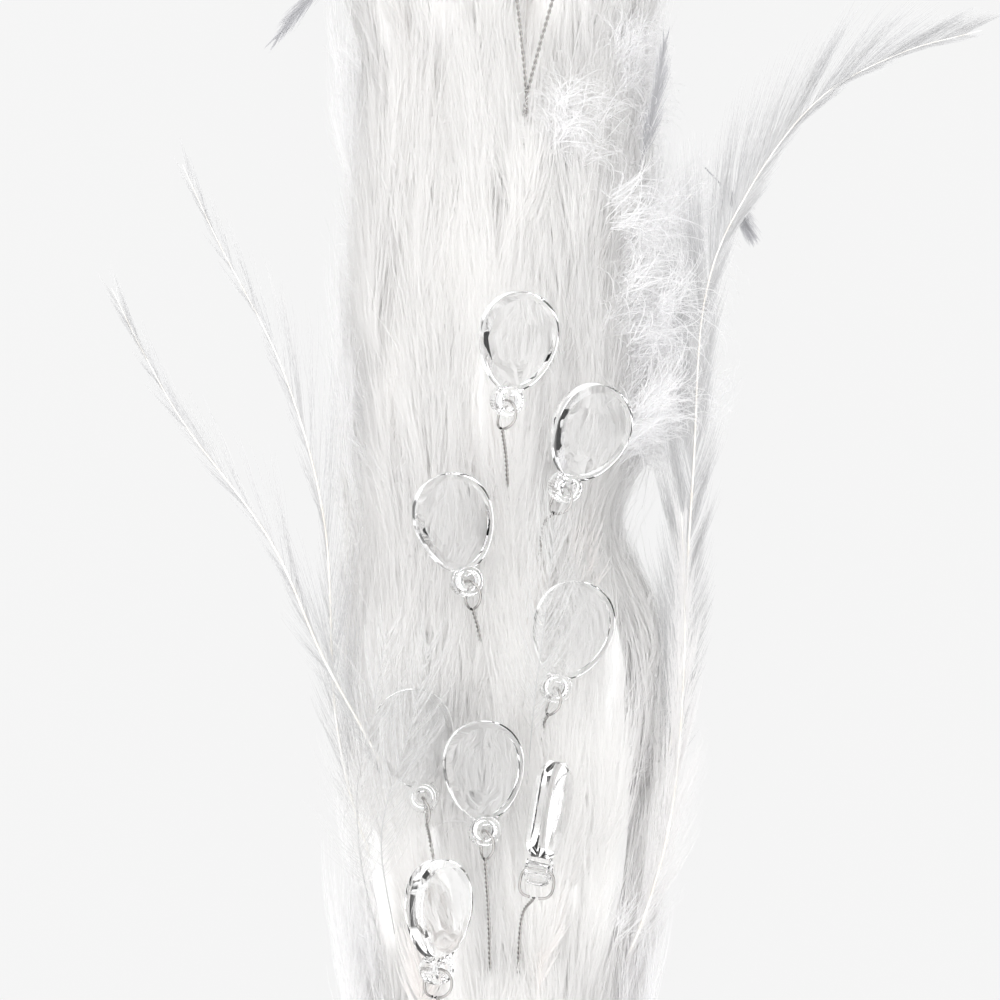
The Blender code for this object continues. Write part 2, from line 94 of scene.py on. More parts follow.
def make_camera():
    """Camera straight above the middle of the near side, as the boa is seen flat on."""
    data = bpy.data.cameras.new("camera")
    data.sensor_width = SENSOR
    data.lens = SENSOR * CAMERA_DISTANCE / FRAME_SIDE
    data.clip_end = 50.0
    camera = bpy.data.objects.new("camera", data)
    bpy.context.scene.collection.objects.link(camera)
    camera.location = ROUTE_ZERO + UP * (CAMERA_DISTANCE + FOCUS_HEIGHT)
    bpy.context.scene.camera = camera


def make_world():
    """White to the camera; for light, a bright sky over a darker horizon, as in a studio tent."""
    world = bpy.data.worlds.new("studio")
    bpy.context.scene.world = world
    world.use_nodes = True
    tree = world.node_tree
    tree.nodes.clear()
    output = tree.nodes.new("ShaderNodeOutputWorld")
    mix = tree.nodes.new("ShaderNodeMixShader")
    path = tree.nodes.new("ShaderNodeLightPath")
    plain = tree.nodes.new("ShaderNodeBackground")
    plain.inputs["Color"].default_value = (BACKDROP_WHITE, BACKDROP_WHITE, BACKDROP_WHITE, 1.0)
    sky = tree.nodes.new("ShaderNodeBackground")
    sky.inputs["Strength"].default_value = SKY_STRENGTH
    place = tree.nodes.new("ShaderNodeTexCoord")
    height = tree.nodes.new("ShaderNodeVectorMath")
    height.operation = "DOT_PRODUCT"
    height.inputs[1].default_value = SKY_AXIS
    ramp = ramp_node(tree, SKY_BANDS)
    tree.links.new(place.outputs["Generated"], height.inputs[0])
    tree.links.new(height.outputs["Value"], ramp.inputs["Fac"])
    card = tree.nodes.new("ShaderNodeVectorMath")
    card.operation = "DOT_PRODUCT"
    card.inputs[1].default_value = DARK_CARD
    edge = tree.nodes.new("ShaderNodeMapRange")
    edge.inputs["From Min"].default_value = DARK_CARD_EDGE[0]
    edge.inputs["From Max"].default_value = DARK_CARD_EDGE[1]
    edge.inputs["To Min"].default_value = 1.0
    edge.inputs["To Max"].default_value = DARK_CARD_SHARE
    dimmed = tree.nodes.new("ShaderNodeVectorMath")
    dimmed.operation = "SCALE"
    tree.links.new(place.outputs["Generated"], card.inputs[0])
    tree.links.new(card.outputs["Value"], edge.inputs["Value"])
    tree.links.new(ramp.outputs["Color"], dimmed.inputs[0])
    tree.links.new(edge.outputs["Result"], dimmed.inputs["Scale"])
    tree.links.new(dimmed.outputs["Vector"], sky.inputs["Color"])
    tree.links.new(path.outputs["Is Camera Ray"], mix.inputs["Fac"])
    tree.links.new(sky.outputs["Background"], mix.inputs[1])
    tree.links.new(plain.outputs["Background"], mix.inputs[2])
    tree.links.new(mix.outputs["Shader"], output.inputs["Surface"])


def make_key_light():
    """One large soft light, high and to the left."""
    data = bpy.data.lights.new("key", "AREA")
    data.size = KEY_SIZE
    data.energy = KEY_ENERGY
    light = bpy.data.objects.new("key", data)
    bpy.context.scene.collection.objects.link(light)
    light.location = ROUTE_ZERO + KEY_PLACE
    light.rotation_mode = "QUATERNION"
    light.rotation_quaternion = Vector(-KEY_PLACE).to_track_quat("-Z", "Y")


def make_floor():
    """Plain white floor that glows evenly, so that no shadow edge shows on it."""
    material, _, shader = new_material("floor", (FLOOR_BASE, FLOOR_BASE, FLOOR_BASE), 1.0)
    shader.inputs["Specular IOR Level"].default_value = 0.0
    shader.inputs["Emission Color"].default_value = (1.0, 1.0, 1.0, 1.0)
    shader.inputs["Emission Strength"].default_value = FLOOR_GLOW
    half = 0.5 * FLOOR_SIDE
    data = bpy.data.meshes.new("floor")
    corners = [(-half, -half, 0.0), (half, -half, 0.0), (half, half, 0.0), (-half, half, 0.0)]
    data.from_pydata(corners, [], [(0, 1, 2, 3)])
    data.materials.append(material)
    floor = bpy.data.objects.new("floor", data)
    bpy.context.scene.collection.objects.link(floor)


# --- Materials ------------------------------------------------------------------------------------

def new_material(name, colour, roughness):
    """Material with its node tree and its shader."""
    material = bpy.data.materials.new(name)
    material.use_nodes = True
    tree = material.node_tree
    shader = tree.nodes["Principled BSDF"]
    shader.inputs["Base Color"].default_value = (*colour, 1.0)
    shader.inputs["Roughness"].default_value = roughness
    return material, tree, shader


def noise_node(tree, scale, detail=2.0):
    """Noise in the object's own space."""
    place = tree.nodes.new("ShaderNodeTexCoord")
    noise = tree.nodes.new("ShaderNodeTexNoise")
    noise.inputs["Scale"].default_value = scale
    noise.inputs["Detail"].default_value = detail
    tree.links.new(place.outputs["Object"], noise.inputs["Vector"])
    return noise


def ramp_node(tree, bands):
    """Colour ramp through (position, colour) pairs in rising order."""
    ramp = tree.nodes.new("ShaderNodeValToRGB")
    elements = ramp.color_ramp.elements
    for element, (position, colour) in zip(elements, (bands[0], bands[-1])):
        element.position = position
        element.color = (*colour, 1.0)
    for position, colour in bands[1:-1]:
        elements.new(position).color = (*colour, 1.0)
    return ramp


def add_bump(tree, shader, height, strength, distance):
    """Fine relief on a shader from a height."""
    bump = tree.nodes.new("ShaderNodeBump")
    bump.inputs["Strength"].default_value = strength
    bump.inputs["Distance"].default_value = distance
    tree.links.new(height, bump.inputs["Height"])
    tree.links.new(bump.outputs["Normal"], shader.inputs["Normal"])


def feather_material(name, pale, middle, deep, translucency, roughness):
    """White feather: each barb's tint (its own tone, with painted shade on the right side and in the inner
    down's furrows), a faint mottle, sheen, and light that comes through.
    """
    material, tree, shader = new_material(name, pale, roughness)
    shader.inputs["Specular IOR Level"].default_value = 0.30
    shader.inputs["Sheen Weight"].default_value = 0.20
    shader.inputs["Sheen Roughness"].default_value = 0.45
    tint = tree.nodes.new("ShaderNodeAttribute")
    tint.attribute_name = "tint"
    mottle = noise_node(tree, 70.0, 3.0)
    spread = tree.nodes.new("ShaderNodeMath")
    spread.operation = "MULTIPLY_ADD"
    spread.inputs[1].default_value = 0.3
    spread.inputs[2].default_value = -0.15
    total = tree.nodes.new("ShaderNodeMath")
    total.use_clamp = True
    ramp = ramp_node(tree, ((0.0, pale), (0.5, middle), (1.0, deep)))
    through = tree.nodes.new("ShaderNodeBsdfTranslucent")
    mix = tree.nodes.new("ShaderNodeMixShader")
    mix.inputs["Fac"].default_value = translucency
    tree.links.new(mottle.outputs["Fac"], spread.inputs[0])
    tree.links.new(spread.outputs[0], total.inputs[0])
    tree.links.new(tint.outputs["Fac"], total.inputs[1])
    tree.links.new(total.outputs[0], ramp.inputs["Fac"])
    tree.links.new(ramp.outputs["Color"], shader.inputs["Base Color"])
    tree.links.new(ramp.outputs["Color"], through.inputs["Color"])
    add_bump(tree, shader, noise_node(tree, 1100.0).outputs["Fac"], 0.2, 0.0001)
    tree.links.new(shader.outputs["BSDF"], mix.inputs[1])
    tree.links.new(through.outputs["BSDF"], mix.inputs[2])
    tree.links.new(mix.outputs["Shader"], tree.nodes["Material Output"].inputs["Surface"])
    return material


def glass_material():
    """Clear cut glass."""
    material, _, shader = new_material("crystal", (0.985, 0.985, 0.985), 0.0)
    shader.inputs["IOR"].default_value = 1.52
    shader.inputs["Transmission Weight"].default_value = 1.0
    return material


def wire_material():
    """Silver-coloured wire with fine drawing marks and dull spots."""
    material, tree, shader = new_material("wire", (0.38, 0.37, 0.36), 0.2)
    shader.inputs["Metallic"].default_value = 1.0
    noise = noise_node(tree, 700.0)
    dullness = tree.nodes.new("ShaderNodeMapRange")
    dullness.inputs["To Min"].default_value = 0.05
    dullness.inputs["To Max"].default_value = 0.20
    tree.links.new(noise.outputs["Fac"], dullness.inputs["Value"])
    tree.links.new(dullness.outputs["Result"], shader.inputs["Roughness"])
    add_bump(tree, shader, noise.outputs["Fac"], 0.15, 0.00003)
    return material


def fibre_material(name, pale, deep, scale, roughness):
    """Spun fibre: fine strands in two close shades, rough and slightly fuzzy."""
    material, tree, shader = new_material(name, pale, roughness)
    shader.inputs["Sheen Weight"].default_value = 0.35
    noise = noise_node(tree, scale, 4.0)
    ramp = ramp_node(tree, ((0.35, deep), (0.65, pale)))
    tree.links.new(noise.outputs["Fac"], ramp.inputs["Fac"])
    tree.links.new(ramp.outputs["Color"], shader.inputs["Base Color"])
    add_bump(tree, shader, noise.outputs["Fac"], 0.6, 0.0002)
    return material


PLUME = feather_material("plume", (0.97, 0.967, 0.962), (0.945, 0.942, 0.94),
                         (0.92, 0.915, 0.93), 0.79, 0.60)
DOWN = feather_material("down", (0.972, 0.97, 0.97), (0.955, 0.953, 0.962),
                        (0.93, 0.928, 0.945), 0.72, 0.75)
INNER = feather_material("inner_down", (0.97, 0.967, 0.962), (0.955, 0.952, 0.948),
                         (0.925, 0.92, 0.922), 0.08, 0.85)
VANE = feather_material("vane", (0.97, 0.962, 0.956), (0.955, 0.942, 0.935),
                        (0.94, 0.922, 0.913), 0.78, 0.50)
# Painted shade: the hackles are white feathers given a grey tone, darker than the plumes, that stands in for
# the shade they show; the pale hackle is a lighter grey copy for feathers that lie over the plumes.
HACKLE = feather_material("hackle", (0.74, 0.74, 0.735), (0.66, 0.66, 0.665),
                          (0.54, 0.54, 0.56), 0.45, 0.45)
SPIKE = feather_material("pale_hackle", (0.92, 0.915, 0.91), (0.87, 0.865, 0.865),
                         (0.80, 0.79, 0.81), 0.64, 0.50)
QUILL = fibre_material("quill", (0.80, 0.79, 0.77), (0.68, 0.65, 0.60), 260.0, 0.38)
CORD = fibre_material("cord", (0.86, 0.85, 0.82), (0.72, 0.70, 0.66), 900.0, 0.90)
THREAD = fibre_material("thread", (0.92, 0.915, 0.90), (0.80, 0.79, 0.77), 1500.0, 0.62)
GLASS = glass_material()
WIRE = wire_material()


# --- Route ----------------------------------------------------------------------------------------

FLOOR_CLEARANCE = 0.0005
FLOOR_SOFTNESS = 0.0015


def route_frames(distance):
    """Centre, heading and right-hand direction of the route at distances along it, as arrays."""
    along = np.abs(distance)
    half_turn = math.pi * BEND_RADIUS
    turn = np.clip((along - NEAR_SIDE_HALF) / BEND_RADIUS, 0.0, math.pi)
    x = BEND_RADIUS * (1.0 - np.cos(turn))
    y = np.minimum(along, NEAR_SIDE_HALF) + BEND_RADIUS * np.sin(turn)
    y -= np.maximum(along - NEAR_SIDE_HALF - half_turn, 0.0)
    forward = np.where(distance < 0.0, -1.0, 1.0)
    zero = np.zeros_like(x)
    centre = np.stack([x, y * forward, zero], axis=-1) + ROUTE_ZERO
    heading = np.stack([np.sin(turn) * forward, np.cos(turn), zero], axis=-1)
    right = np.stack([heading[..., 1], -heading[..., 0], zero], axis=-1)
    return centre, heading, right


def spray_base(number):
    """Distance along the route of a spray's base."""
    return FIFTH_BASE + SPRAY_PITCH * (number - 5)


def to_space(distance, side, height):
    """Points from distances along the route, offsets to its right and heights."""
    centre, _, right = route_frames(np.asarray(distance, float))
    points = centre + right * np.asarray(side, float)[..., None]
    points[..., 2] += height
    return points


def rounded(base, reach, angle, radius):
    """Points round the cord, pressed flat where they would sink into the surface below."""
    height = CORE_HEIGHT + radius * np.cos(angle) - FLOOR_CLEARANCE
    height = FLOOR_CLEARANCE + FLOOR_SOFTNESS * np.logaddexp(0.0, height / FLOOR_SOFTNESS)
    return to_space(base + reach, radius * np.sin(angle), height)


def smooth_line(points, step):
    """Points at even steps on a smooth curve through given points."""
    points = np.asarray(points, float)
    ends = np.vstack([2.0 * points[0] - points[1], points, 2.0 * points[-1] - points[-2]])
    line = []
    for before, start, end, after in zip(ends, ends[1:], ends[2:], ends[3:]):
        count = max(2, round(float(np.linalg.norm(end - start)) / step))
        t = np.arange(count)[:, None] / count
        line.append(0.5 * (2.0 * start + (end - before) * t
                           + (2.0 * before - 5.0 * start + 4.0 * end - after) * t ** 2
                           + (3.0 * start - before - 3.0 * end + after) * t ** 3))
    return np.vstack(line + [points[-1:]])


# --- Meshes: thin strips for barbs, tubes for quills, wires and threads ----------------------------

def unit(vectors):
    """Vectors scaled to length 1."""
    return vectors / np.maximum(np.linalg.norm(vectors, axis=-1, keepdims=True), 1e-12)


def strips(lines, facing, half_widths, tints):
    """Corners, faces, tints and face counts of strips along lines of points, (strip, point, 3)."""
    tangents = unit(np.gradient(lines, axis=1))
    across = unit(np.cross(facing, tangents)) * half_widths[..., None]
    verts = np.stack([lines - across, lines + across], axis=2).reshape(-1, 3)
    count, points = lines.shape[:2]
    first = np.arange(count * points).reshape(count, points)[:, :-1].ravel() * 2
    faces = np.stack([first, first + 1, first + 3, first + 2], axis=1)
    return verts, faces, np.repeat(tints, points * 2), np.full(count, points - 1)


def carried_frames(line):
    """Two unit vectors across a line at each of its points, carried along it without twist."""
    tangents = unit(np.gradient(line, axis=0))
    start = UP if abs(tangents[0][2]) < 0.9 else np.array([1.0, 0.0, 0.0])
    across = np.cross(tangents[0], start)
    carried = []
    for tangent in tangents:
        across = across - tangent * across.dot(tangent)
        across = across / math.sqrt(across.dot(across))
        carried.append(across)
    carried = np.array(carried)
    return carried, np.cross(tangents, carried)


def tube(line, radii, sides, tint=0.5, frames=None):
    """Corners, faces, tints and face counts of a tube along a line of points."""
    across, over = carried_frames(line) if frames is None else frames
    angle = 2.0 * math.pi * np.arange(sides) / sides
    radii = np.broadcast_to(np.asarray(radii, float), len(line))[:, None, None]
    ring = across[:, None] * np.cos(angle)[:, None] + over[:, None] * np.sin(angle)[:, None]
    verts = (line[:, None] + ring * radii).reshape(-1, 3)
    row = np.arange(sides)
    after = (row + 1) % sides
    start = (np.arange(len(line) - 1) * sides)[:, None]
    faces = np.stack([start + row, start + after, start + sides + after, start + sides + row], axis=-1)
    return verts, faces.reshape(-1, 4), np.full(len(verts), tint), np.array([faces.size // 4])


def twisted(line, strand_radius, pitch, count, sides, phase=0.0):
    """Several strands laid round each other along a line."""
    across, over = carried_frames(line)
    run = np.concatenate([[0.0], np.cumsum(np.linalg.norm(np.diff(line, axis=0), axis=1))])
    offset = strand_radius / math.sin(math.pi / count)
    made = []
    for strand in range(count):
        angle = 2.0 * math.pi * (run / pitch + strand / count) + phase
        shifted = line + (across * np.cos(angle)[:, None] + over * np.sin(angle)[:, None]) * offset
        made.append(tube(shifted, strand_radius, sides, frames=(across, over)))
    return made


def bake_corners(counts):
    """Map corners that give each strip or tube its own cell, with its faces side by side."""
    cells = math.ceil(math.sqrt(len(counts)))
    owner = np.repeat(np.arange(len(counts)), counts)
    number = np.arange(len(owner)) - np.repeat(np.cumsum(counts) - counts, counts)
    share = np.repeat(counts, counts)
    column = owner % cells
    row = owner // cells
    left = (column + 0.1) / cells
    right = (column + 0.9) / cells
    low = (row + 0.1 + 0.8 * number / share) / cells
    high = (row + 0.1 + 0.8 * (number + 1) / share) / cells
    corners = np.stack([left, low, right, low, right, high, left, high], axis=1)
    return corners.reshape(-1, 4, 2)


def mesh_piece(name, parts, material):
    """One object from several sets of strips or tubes."""
    offsets = np.cumsum([0] + [len(part[0]) for part in parts[:-1]])
    verts = np.concatenate([part[0] for part in parts])
    faces = np.concatenate([part[1] + offset for part, offset in zip(parts, offsets)])
    tints = np.concatenate([part[2] for part in parts])
    counts = np.concatenate([part[3] for part in parts])
    data = bpy.data.meshes.new(name)
    data.vertices.add(len(verts))
    data.vertices.foreach_set("co", np.ascontiguousarray(verts, np.float32).ravel())
    data.loops.add(faces.size)
    data.loops.foreach_set("vertex_index", np.ascontiguousarray(faces, np.int32).ravel())
    data.polygons.add(len(faces))
    data.polygons.foreach_set("loop_start", np.arange(0, faces.size, 4, dtype=np.int32))
    data.polygons.foreach_set("use_smooth", np.full(len(faces), True))
    attribute = data.attributes.new("tint", "FLOAT", "POINT")
    attribute.data.foreach_set("value", np.ascontiguousarray(tints, np.float32))
    data.update(calc_edges=True)
    layer = data.uv_layers.new(name="OFBake")
    layer.data.foreach_set("uv", np.ascontiguousarray(bake_corners(counts), np.float32).ravel())
    data.materials.append(material)
    made = bpy.data.objects.new(name, data)
    bpy.context.scene.collection.objects.link(made)
    return made


# --- Pieces on their bodies -----------------------------------------------------------------------


def attach(piece, number, replaced=()):
    """A soft piece: the last spray's piece follows its spray's body; any other piece is joined to no body and
    has its place baked into its mesh.
    """
    if replaced:
        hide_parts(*replaced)
    if number == SPRAY_COUNT:
        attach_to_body(piece, "length_%d" % number)
        return
    hinge = spray_base(number + 1)
    before, after = to_space(np.array([hinge, hinge]), np.zeros(2), np.full(2, CORE_HEIGHT))
    _, heading, _ = route_frames(np.array(hinge))
    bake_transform(piece)


def fix(piece, body, replaced=()):
    """A piece that moves with one body."""
    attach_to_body(piece, body)
    if replaced:
        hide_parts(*replaced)


# --- Plumes ---------------------------------------------------------------------------------------

PLUME_RADIUS = 0.0272
OUTLINE_REACH = (0.000, 0.013, 0.045, 0.070, 0.092, 0.118, 0.150, 0.200, 0.240)
OUTLINE_SIZE = (0.80, 0.82, 1.05, 1.06, 0.95, 1.00, 0.96, 0.87, 0.82)
INNER_RADIUS = 0.0225
WAIST_REACH = 0.095
WAIST_LENGTH = 0.012
WAIST_DEPTH = 0.26
SHAFT_RADIUS = 0.019
SHAFT_RISE = 0.022
LAST_SCALE = 0.55


def waist(number, reach, angle):
    """Share of its usual radius that is left in the middle spray's waist, which is on the right only."""
    if number != MIDDLE_SPRAY:
        return np.ones_like(reach * angle)
    dent = np.exp(-((reach - WAIST_REACH) / WAIST_LENGTH) ** 2)
    return 1.0 - WAIST_DEPTH * dent * np.clip(np.sin(angle), 0.0, 1.0)


def outline(number, reach, angle):
    """Size of the plume bundle against its usual radius; the spray below the middle one tapers more."""
    size = np.interp(reach, OUTLINE_REACH, OUTLINE_SIZE) * waist(number, reach, angle)
    if number == MIDDLE_SPRAY - 1:
        size = size * np.interp(reach, (0.115, 0.155), (1.0, 0.86))
    return size


def wander(length, heading):
    """Forward and sideways run of barbs from their lengths and their heading at each point."""
    stride = length[:, None] / (heading.shape[1] - 1)
    forward = np.cumsum(np.cos(heading) * stride, axis=1)
    aside = np.cumsum(np.sin(heading) * stride, axis=1)
    return forward - forward[:, :1], aside - aside[:, :1]


def rolled(rng, base, reach, angle, radius, lines, spread):
    """Way that strips face: outwards, each turned by its own amount about its length."""
    outward = unit(rounded(base, reach, angle, radius + 0.002) - lines + UP * 0.0001)
    tangents = unit(np.gradient(lines, axis=1))
    roll = rng.normal(0.0, spread, len(lines))[:, None, None]
    return unit(outward * np.cos(roll) + np.cross(tangents, outward) * np.sin(roll))


def spread_angles(rng, count, front_share):
    """Angles round the cord, with a share of them on the upper half."""
    upper = rng.uniform(-0.5 * math.pi, 0.5 * math.pi, count)
    lower = rng.uniform(0.5 * math.pi, 1.5 * math.pi, count)
    return np.where(rng.uniform(0.0, 1.0, count) < front_share, upper, lower)


def side_shade(angle):
    """Painted shade: a deeper tint for barbs on the right side of the boa, which is in a little more shade
    than the left.
    """
    return 0.06 * np.clip(np.sin(angle), -0.3, 1.0)


def plume_strips(rng, number, plumes, barbs, points, width, scale):
    """Barbs of a spray's plumes: they leave their shafts on both sides and turn to run along the boa."""
    base = spray_base(number)
    start = rng.uniform(-0.004, SPRAY_PITCH * (scale if number == SPRAY_COUNT else 1.0), plumes)
    shaft = rng.uniform(0.030, 0.050, plumes) * scale
    bearing = spread_angles(rng, plumes, 0.66)
    outer = PLUME_RADIUS * rng.uniform(0.84, 1.03, plumes)
    drift = rng.normal(0.0, 0.14, plumes)
    shade = rng.normal(0.28, 0.08, plumes)

    count = plumes * barbs * 2
    owner = np.repeat(np.arange(plumes), barbs * 2)
    sign = np.tile([-1.0, 1.0], plumes * barbs)
    place = rng.uniform(0.0, 1.0, count)
    length = rng.uniform(0.016, 0.042, count) * (1.0 - 0.35 * place ** 3) * scale
    splay = np.radians(rng.uniform(5.0, 27.0, count))
    closing = rng.uniform(0.5, 1.15, count)
    swing = rng.uniform(0.0, 0.13, count)
    turns = rng.uniform(0.7, 2.2, count)
    phase = rng.uniform(0.0, 2.0 * math.pi, count)
    lift = rng.normal(0.0, 0.0009, count)
    flick = rng.exponential(0.0012, count)

    step = np.linspace(0.0, 1.0, points)[None, :]
    heading = sign[:, None] * splay[:, None] * (1.0 - closing[:, None] * step)
    heading = heading + swing[:, None] * np.sin(2.0 * math.pi * turns[:, None] * step + phase[:, None])
    forward, aside = wander(length, heading)
    reach = (start[owner] + place * shaft[owner])[:, None] + forward
    risen = np.clip((reach - start[owner][:, None]) / SHAFT_RISE, 0.0, 1.0)
    risen = risen * risen * (3.0 - 2.0 * risen)
    turn = bearing[owner][:, None] + drift[owner][:, None] * risen
    full = outer[owner][:, None] * outline(number, reach, turn)
    radius = SHAFT_RADIUS + (full - SHAFT_RADIUS) * risen
    radius = radius + lift[:, None] * step + flick[:, None] * step ** 3
    turn = turn + aside / np.maximum(radius, 0.010)
    lines = rounded(base, reach, turn, radius)
    facing = rolled(rng, base, reach, turn, radius, lines, 0.3)
    widths = width * rng.uniform(0.6, 1.3, count)[:, None] * (1.0 - 0.8 * step ** 2)
    # Tint of each barb: its plume's own tone and a random part, with painted shade added on the right side.
    tints = np.clip(shade[owner] + rng.normal(0.0, 0.08, count) + side_shade(turn[:, 0]), 0.0, 1.0)
    return strips(lines, facing, widths, tints)


def tuft_strips(rng, number, centres, barbs, points, length_span, curl_span, rise_span, width, shade,
                splay_spread=0.55):
    """Tufts of curled down. Each centre is (reach, angle, radius, leaning in radians to the right)."""
    base = spray_base(number)
    centres = np.asarray(centres, float)
    count = len(centres) * barbs
    reach, bearing, radius, lean = np.repeat(centres, barbs, axis=0).T
    length = rng.uniform(*length_span, count)
    splay = rng.normal(0.0, splay_spread, count)
    curl = rng.uniform(*curl_span, count) * np.sign(splay + rng.normal(0.0, 0.3, count))
    swing = rng.uniform(0.05, 0.35, count)
    turns = rng.uniform(1.0, 2.6, count)
    phase = rng.uniform(0.0, 2.0 * math.pi, count)
    rise = rng.uniform(*rise_span, count)
    step = np.linspace(0.0, 1.0, points)[None, :]
    heading = (lean + splay)[:, None] + curl[:, None] * step ** 1.4
    heading = heading + swing[:, None] * np.sin(2.0 * math.pi * turns[:, None] * step + phase[:, None])
    forward, aside = wander(length, heading)
    reach = reach[:, None] + rng.normal(0.0, 0.0012, count)[:, None] + forward
    radius = radius[:, None] + rise[:, None] * np.sin(0.5 * math.pi * step)
    turn = bearing[:, None] + rng.normal(0.0, 0.04, count)[:, None] + aside / np.maximum(radius, 0.010)
    radius = radius * waist(number, reach, turn)
    lines = rounded(base, reach, turn, radius)
    facing = rolled(rng, base, reach, turn, radius, lines, 0.9)
    widths = width * rng.uniform(0.6, 1.3, count)[:, None] * (1.0 - 0.75 * step ** 2)
    # Tint of each barb: the tuft's tone and a random part, with painted shade added on the right side.
    tints = np.clip(shade + rng.normal(0.0, 0.14, count) + side_shade(turn[:, 0]), 0.0, 1.0)
    return strips(lines, facing, widths, tints)


SLEEVE_TAIL_START = -0.012
SLEEVE_START = -0.001
SLEEVE_AROUND = 168
SLEEVE_ALONG = 60
SLEEVE_PAST_HINGE = 0.006
SLEEVE_LAST_END = 0.070
SLEEVE_LOBES = ((0.0011, 9), (0.0009, 23), (0.0006, 51), (0.0005, 83))
SLEEVE_RIPPLE = 0.040
SLEEVE_CLOSING = 0.010
SLEEVE_NARROWEST = 0.2


def under_down(number):
    """Thick inner down: a streaked sleeve round the cord that fills the space under the plumes."""
    rng = np.random.default_rng(SEED + 100 + number)
    first = SLEEVE_TAIL_START if number == 1 else SLEEVE_START
    last = SLEEVE_LAST_END if number == SPRAY_COUNT else SPRAY_PITCH + SLEEVE_PAST_HINGE
    reach = np.linspace(first, last, SLEEVE_ALONG)[:, None]
    angle = (2.0 * math.pi * np.arange(SLEEVE_AROUND) / SLEEVE_AROUND)[None, :]
    streak = np.zeros((SLEEVE_ALONG, SLEEVE_AROUND))
    for size, lobes in SLEEVE_LOBES:
        drift = rng.uniform(-9.0, 9.0)
        streak += size * np.sin(lobes * angle + drift * reach / SPRAY_PITCH + rng.uniform(0.0, 6.0))
        streak += 0.5 * size * np.sin(2.0 * math.pi * reach / SLEEVE_RIPPLE + lobes)
    ends = np.clip(np.minimum(reach - first, last - reach) / SLEEVE_CLOSING, 0.0, 1.0) ** 0.5
    if number > 1:
        ends = np.maximum(ends, np.clip((reach - first) / 0.002, 0.0, 1.0) * (reach < 0.05))
    size = np.minimum(outline(number, reach, angle), np.interp(reach, (0.122, 0.150), (1.06, 0.82)))
    radius = (INNER_RADIUS * size + streak) * np.maximum(ends, SLEEVE_NARROWEST)
    if number == SPRAY_COUNT:
        radius = radius * np.interp(reach, (0.03, last), (1.0, 0.5))
    grid = rounded(spray_base(number), np.broadcast_to(reach, radius.shape),
                   np.broadcast_to(angle, radius.shape), radius)
    row = np.arange(SLEEVE_AROUND)
    after = (row + 1) % SLEEVE_AROUND
    start = (np.arange(SLEEVE_ALONG - 1) * SLEEVE_AROUND)[:, None]
    over = start + SLEEVE_AROUND
    faces = np.stack([start + row, start + after, over + after, over + row], axis=-1)
    # Painted shade: the sleeve is tinted deeper in its furrows and paler on its ridges.
    tints = np.clip(0.30 - 60.0 * streak.ravel(), 0.0, 1.0)
    counts = np.full(SLEEVE_ALONG - 1, SLEEVE_AROUND)
    part = (grid.reshape(-1, 3), faces.reshape(-1, 4), tints, counts)
    return mesh_piece("under_down_%d" % number, [part], INNER)


def size_of(number):
    """Share of the usual length of the feathers in a spray: the last spray's are short."""
    return LAST_SCALE if number == SPRAY_COUNT else 1.0


def is_near(number):
    """True of the middle spray and its two neighbours, which have the finest barbs."""
    return abs(number - MIDDLE_SPRAY) <= 1


# Plumes of a spray, by piece: ending of its name, plumes, barbs to a side of each, points along each barb
# and half width of the barbs.
PLUME_PLAN = (("", 54, 70, 7, 0.00024),)
NEAR_PLUME_PLAN = (("_left", 58, 112, 8, 0.00013), ("_right", 30, 112, 8, 0.00013))
MIDDLE_PLUME_PLAN = (("_left", 58, 112, 8, 0.00010), ("_right", 58, 112, 8, 0.00010),
                     ("_over", 58, 112, 8, 0.00009))


def build_plumes():
    """Plumes and inner down of every spray."""
    for number in range(1, SPRAY_COUNT + 1):
        rng = np.random.default_rng(SEED + number)
        attach(under_down(number), number, ["plumes_%d" % number])
        plan = NEAR_PLUME_PLAN if is_near(number) else PLUME_PLAN
        if number == MIDDLE_SPRAY:
            plan = MIDDLE_PLUME_PLAN
        for ending, plumes, barbs, points, width in plan:
            part = plume_strips(rng, number, plumes, barbs, points, width, size_of(number))
            attach(mesh_piece("plumes_%d%s_barbs" % (number, ending), [part], PLUME), number)


# --- Curled down at the edges ---------------------------------------------------------------------

def scattered(rng, count, reach_span, angle_span, radius_span, lean):
    """Places for tufts within spans of reach, angle and radius."""
    return np.stack([rng.uniform(*reach_span, count), np.radians(rng.uniform(*angle_span, count)),
                     rng.uniform(*radius_span, count), rng.normal(lean, 0.35, count)], axis=1)


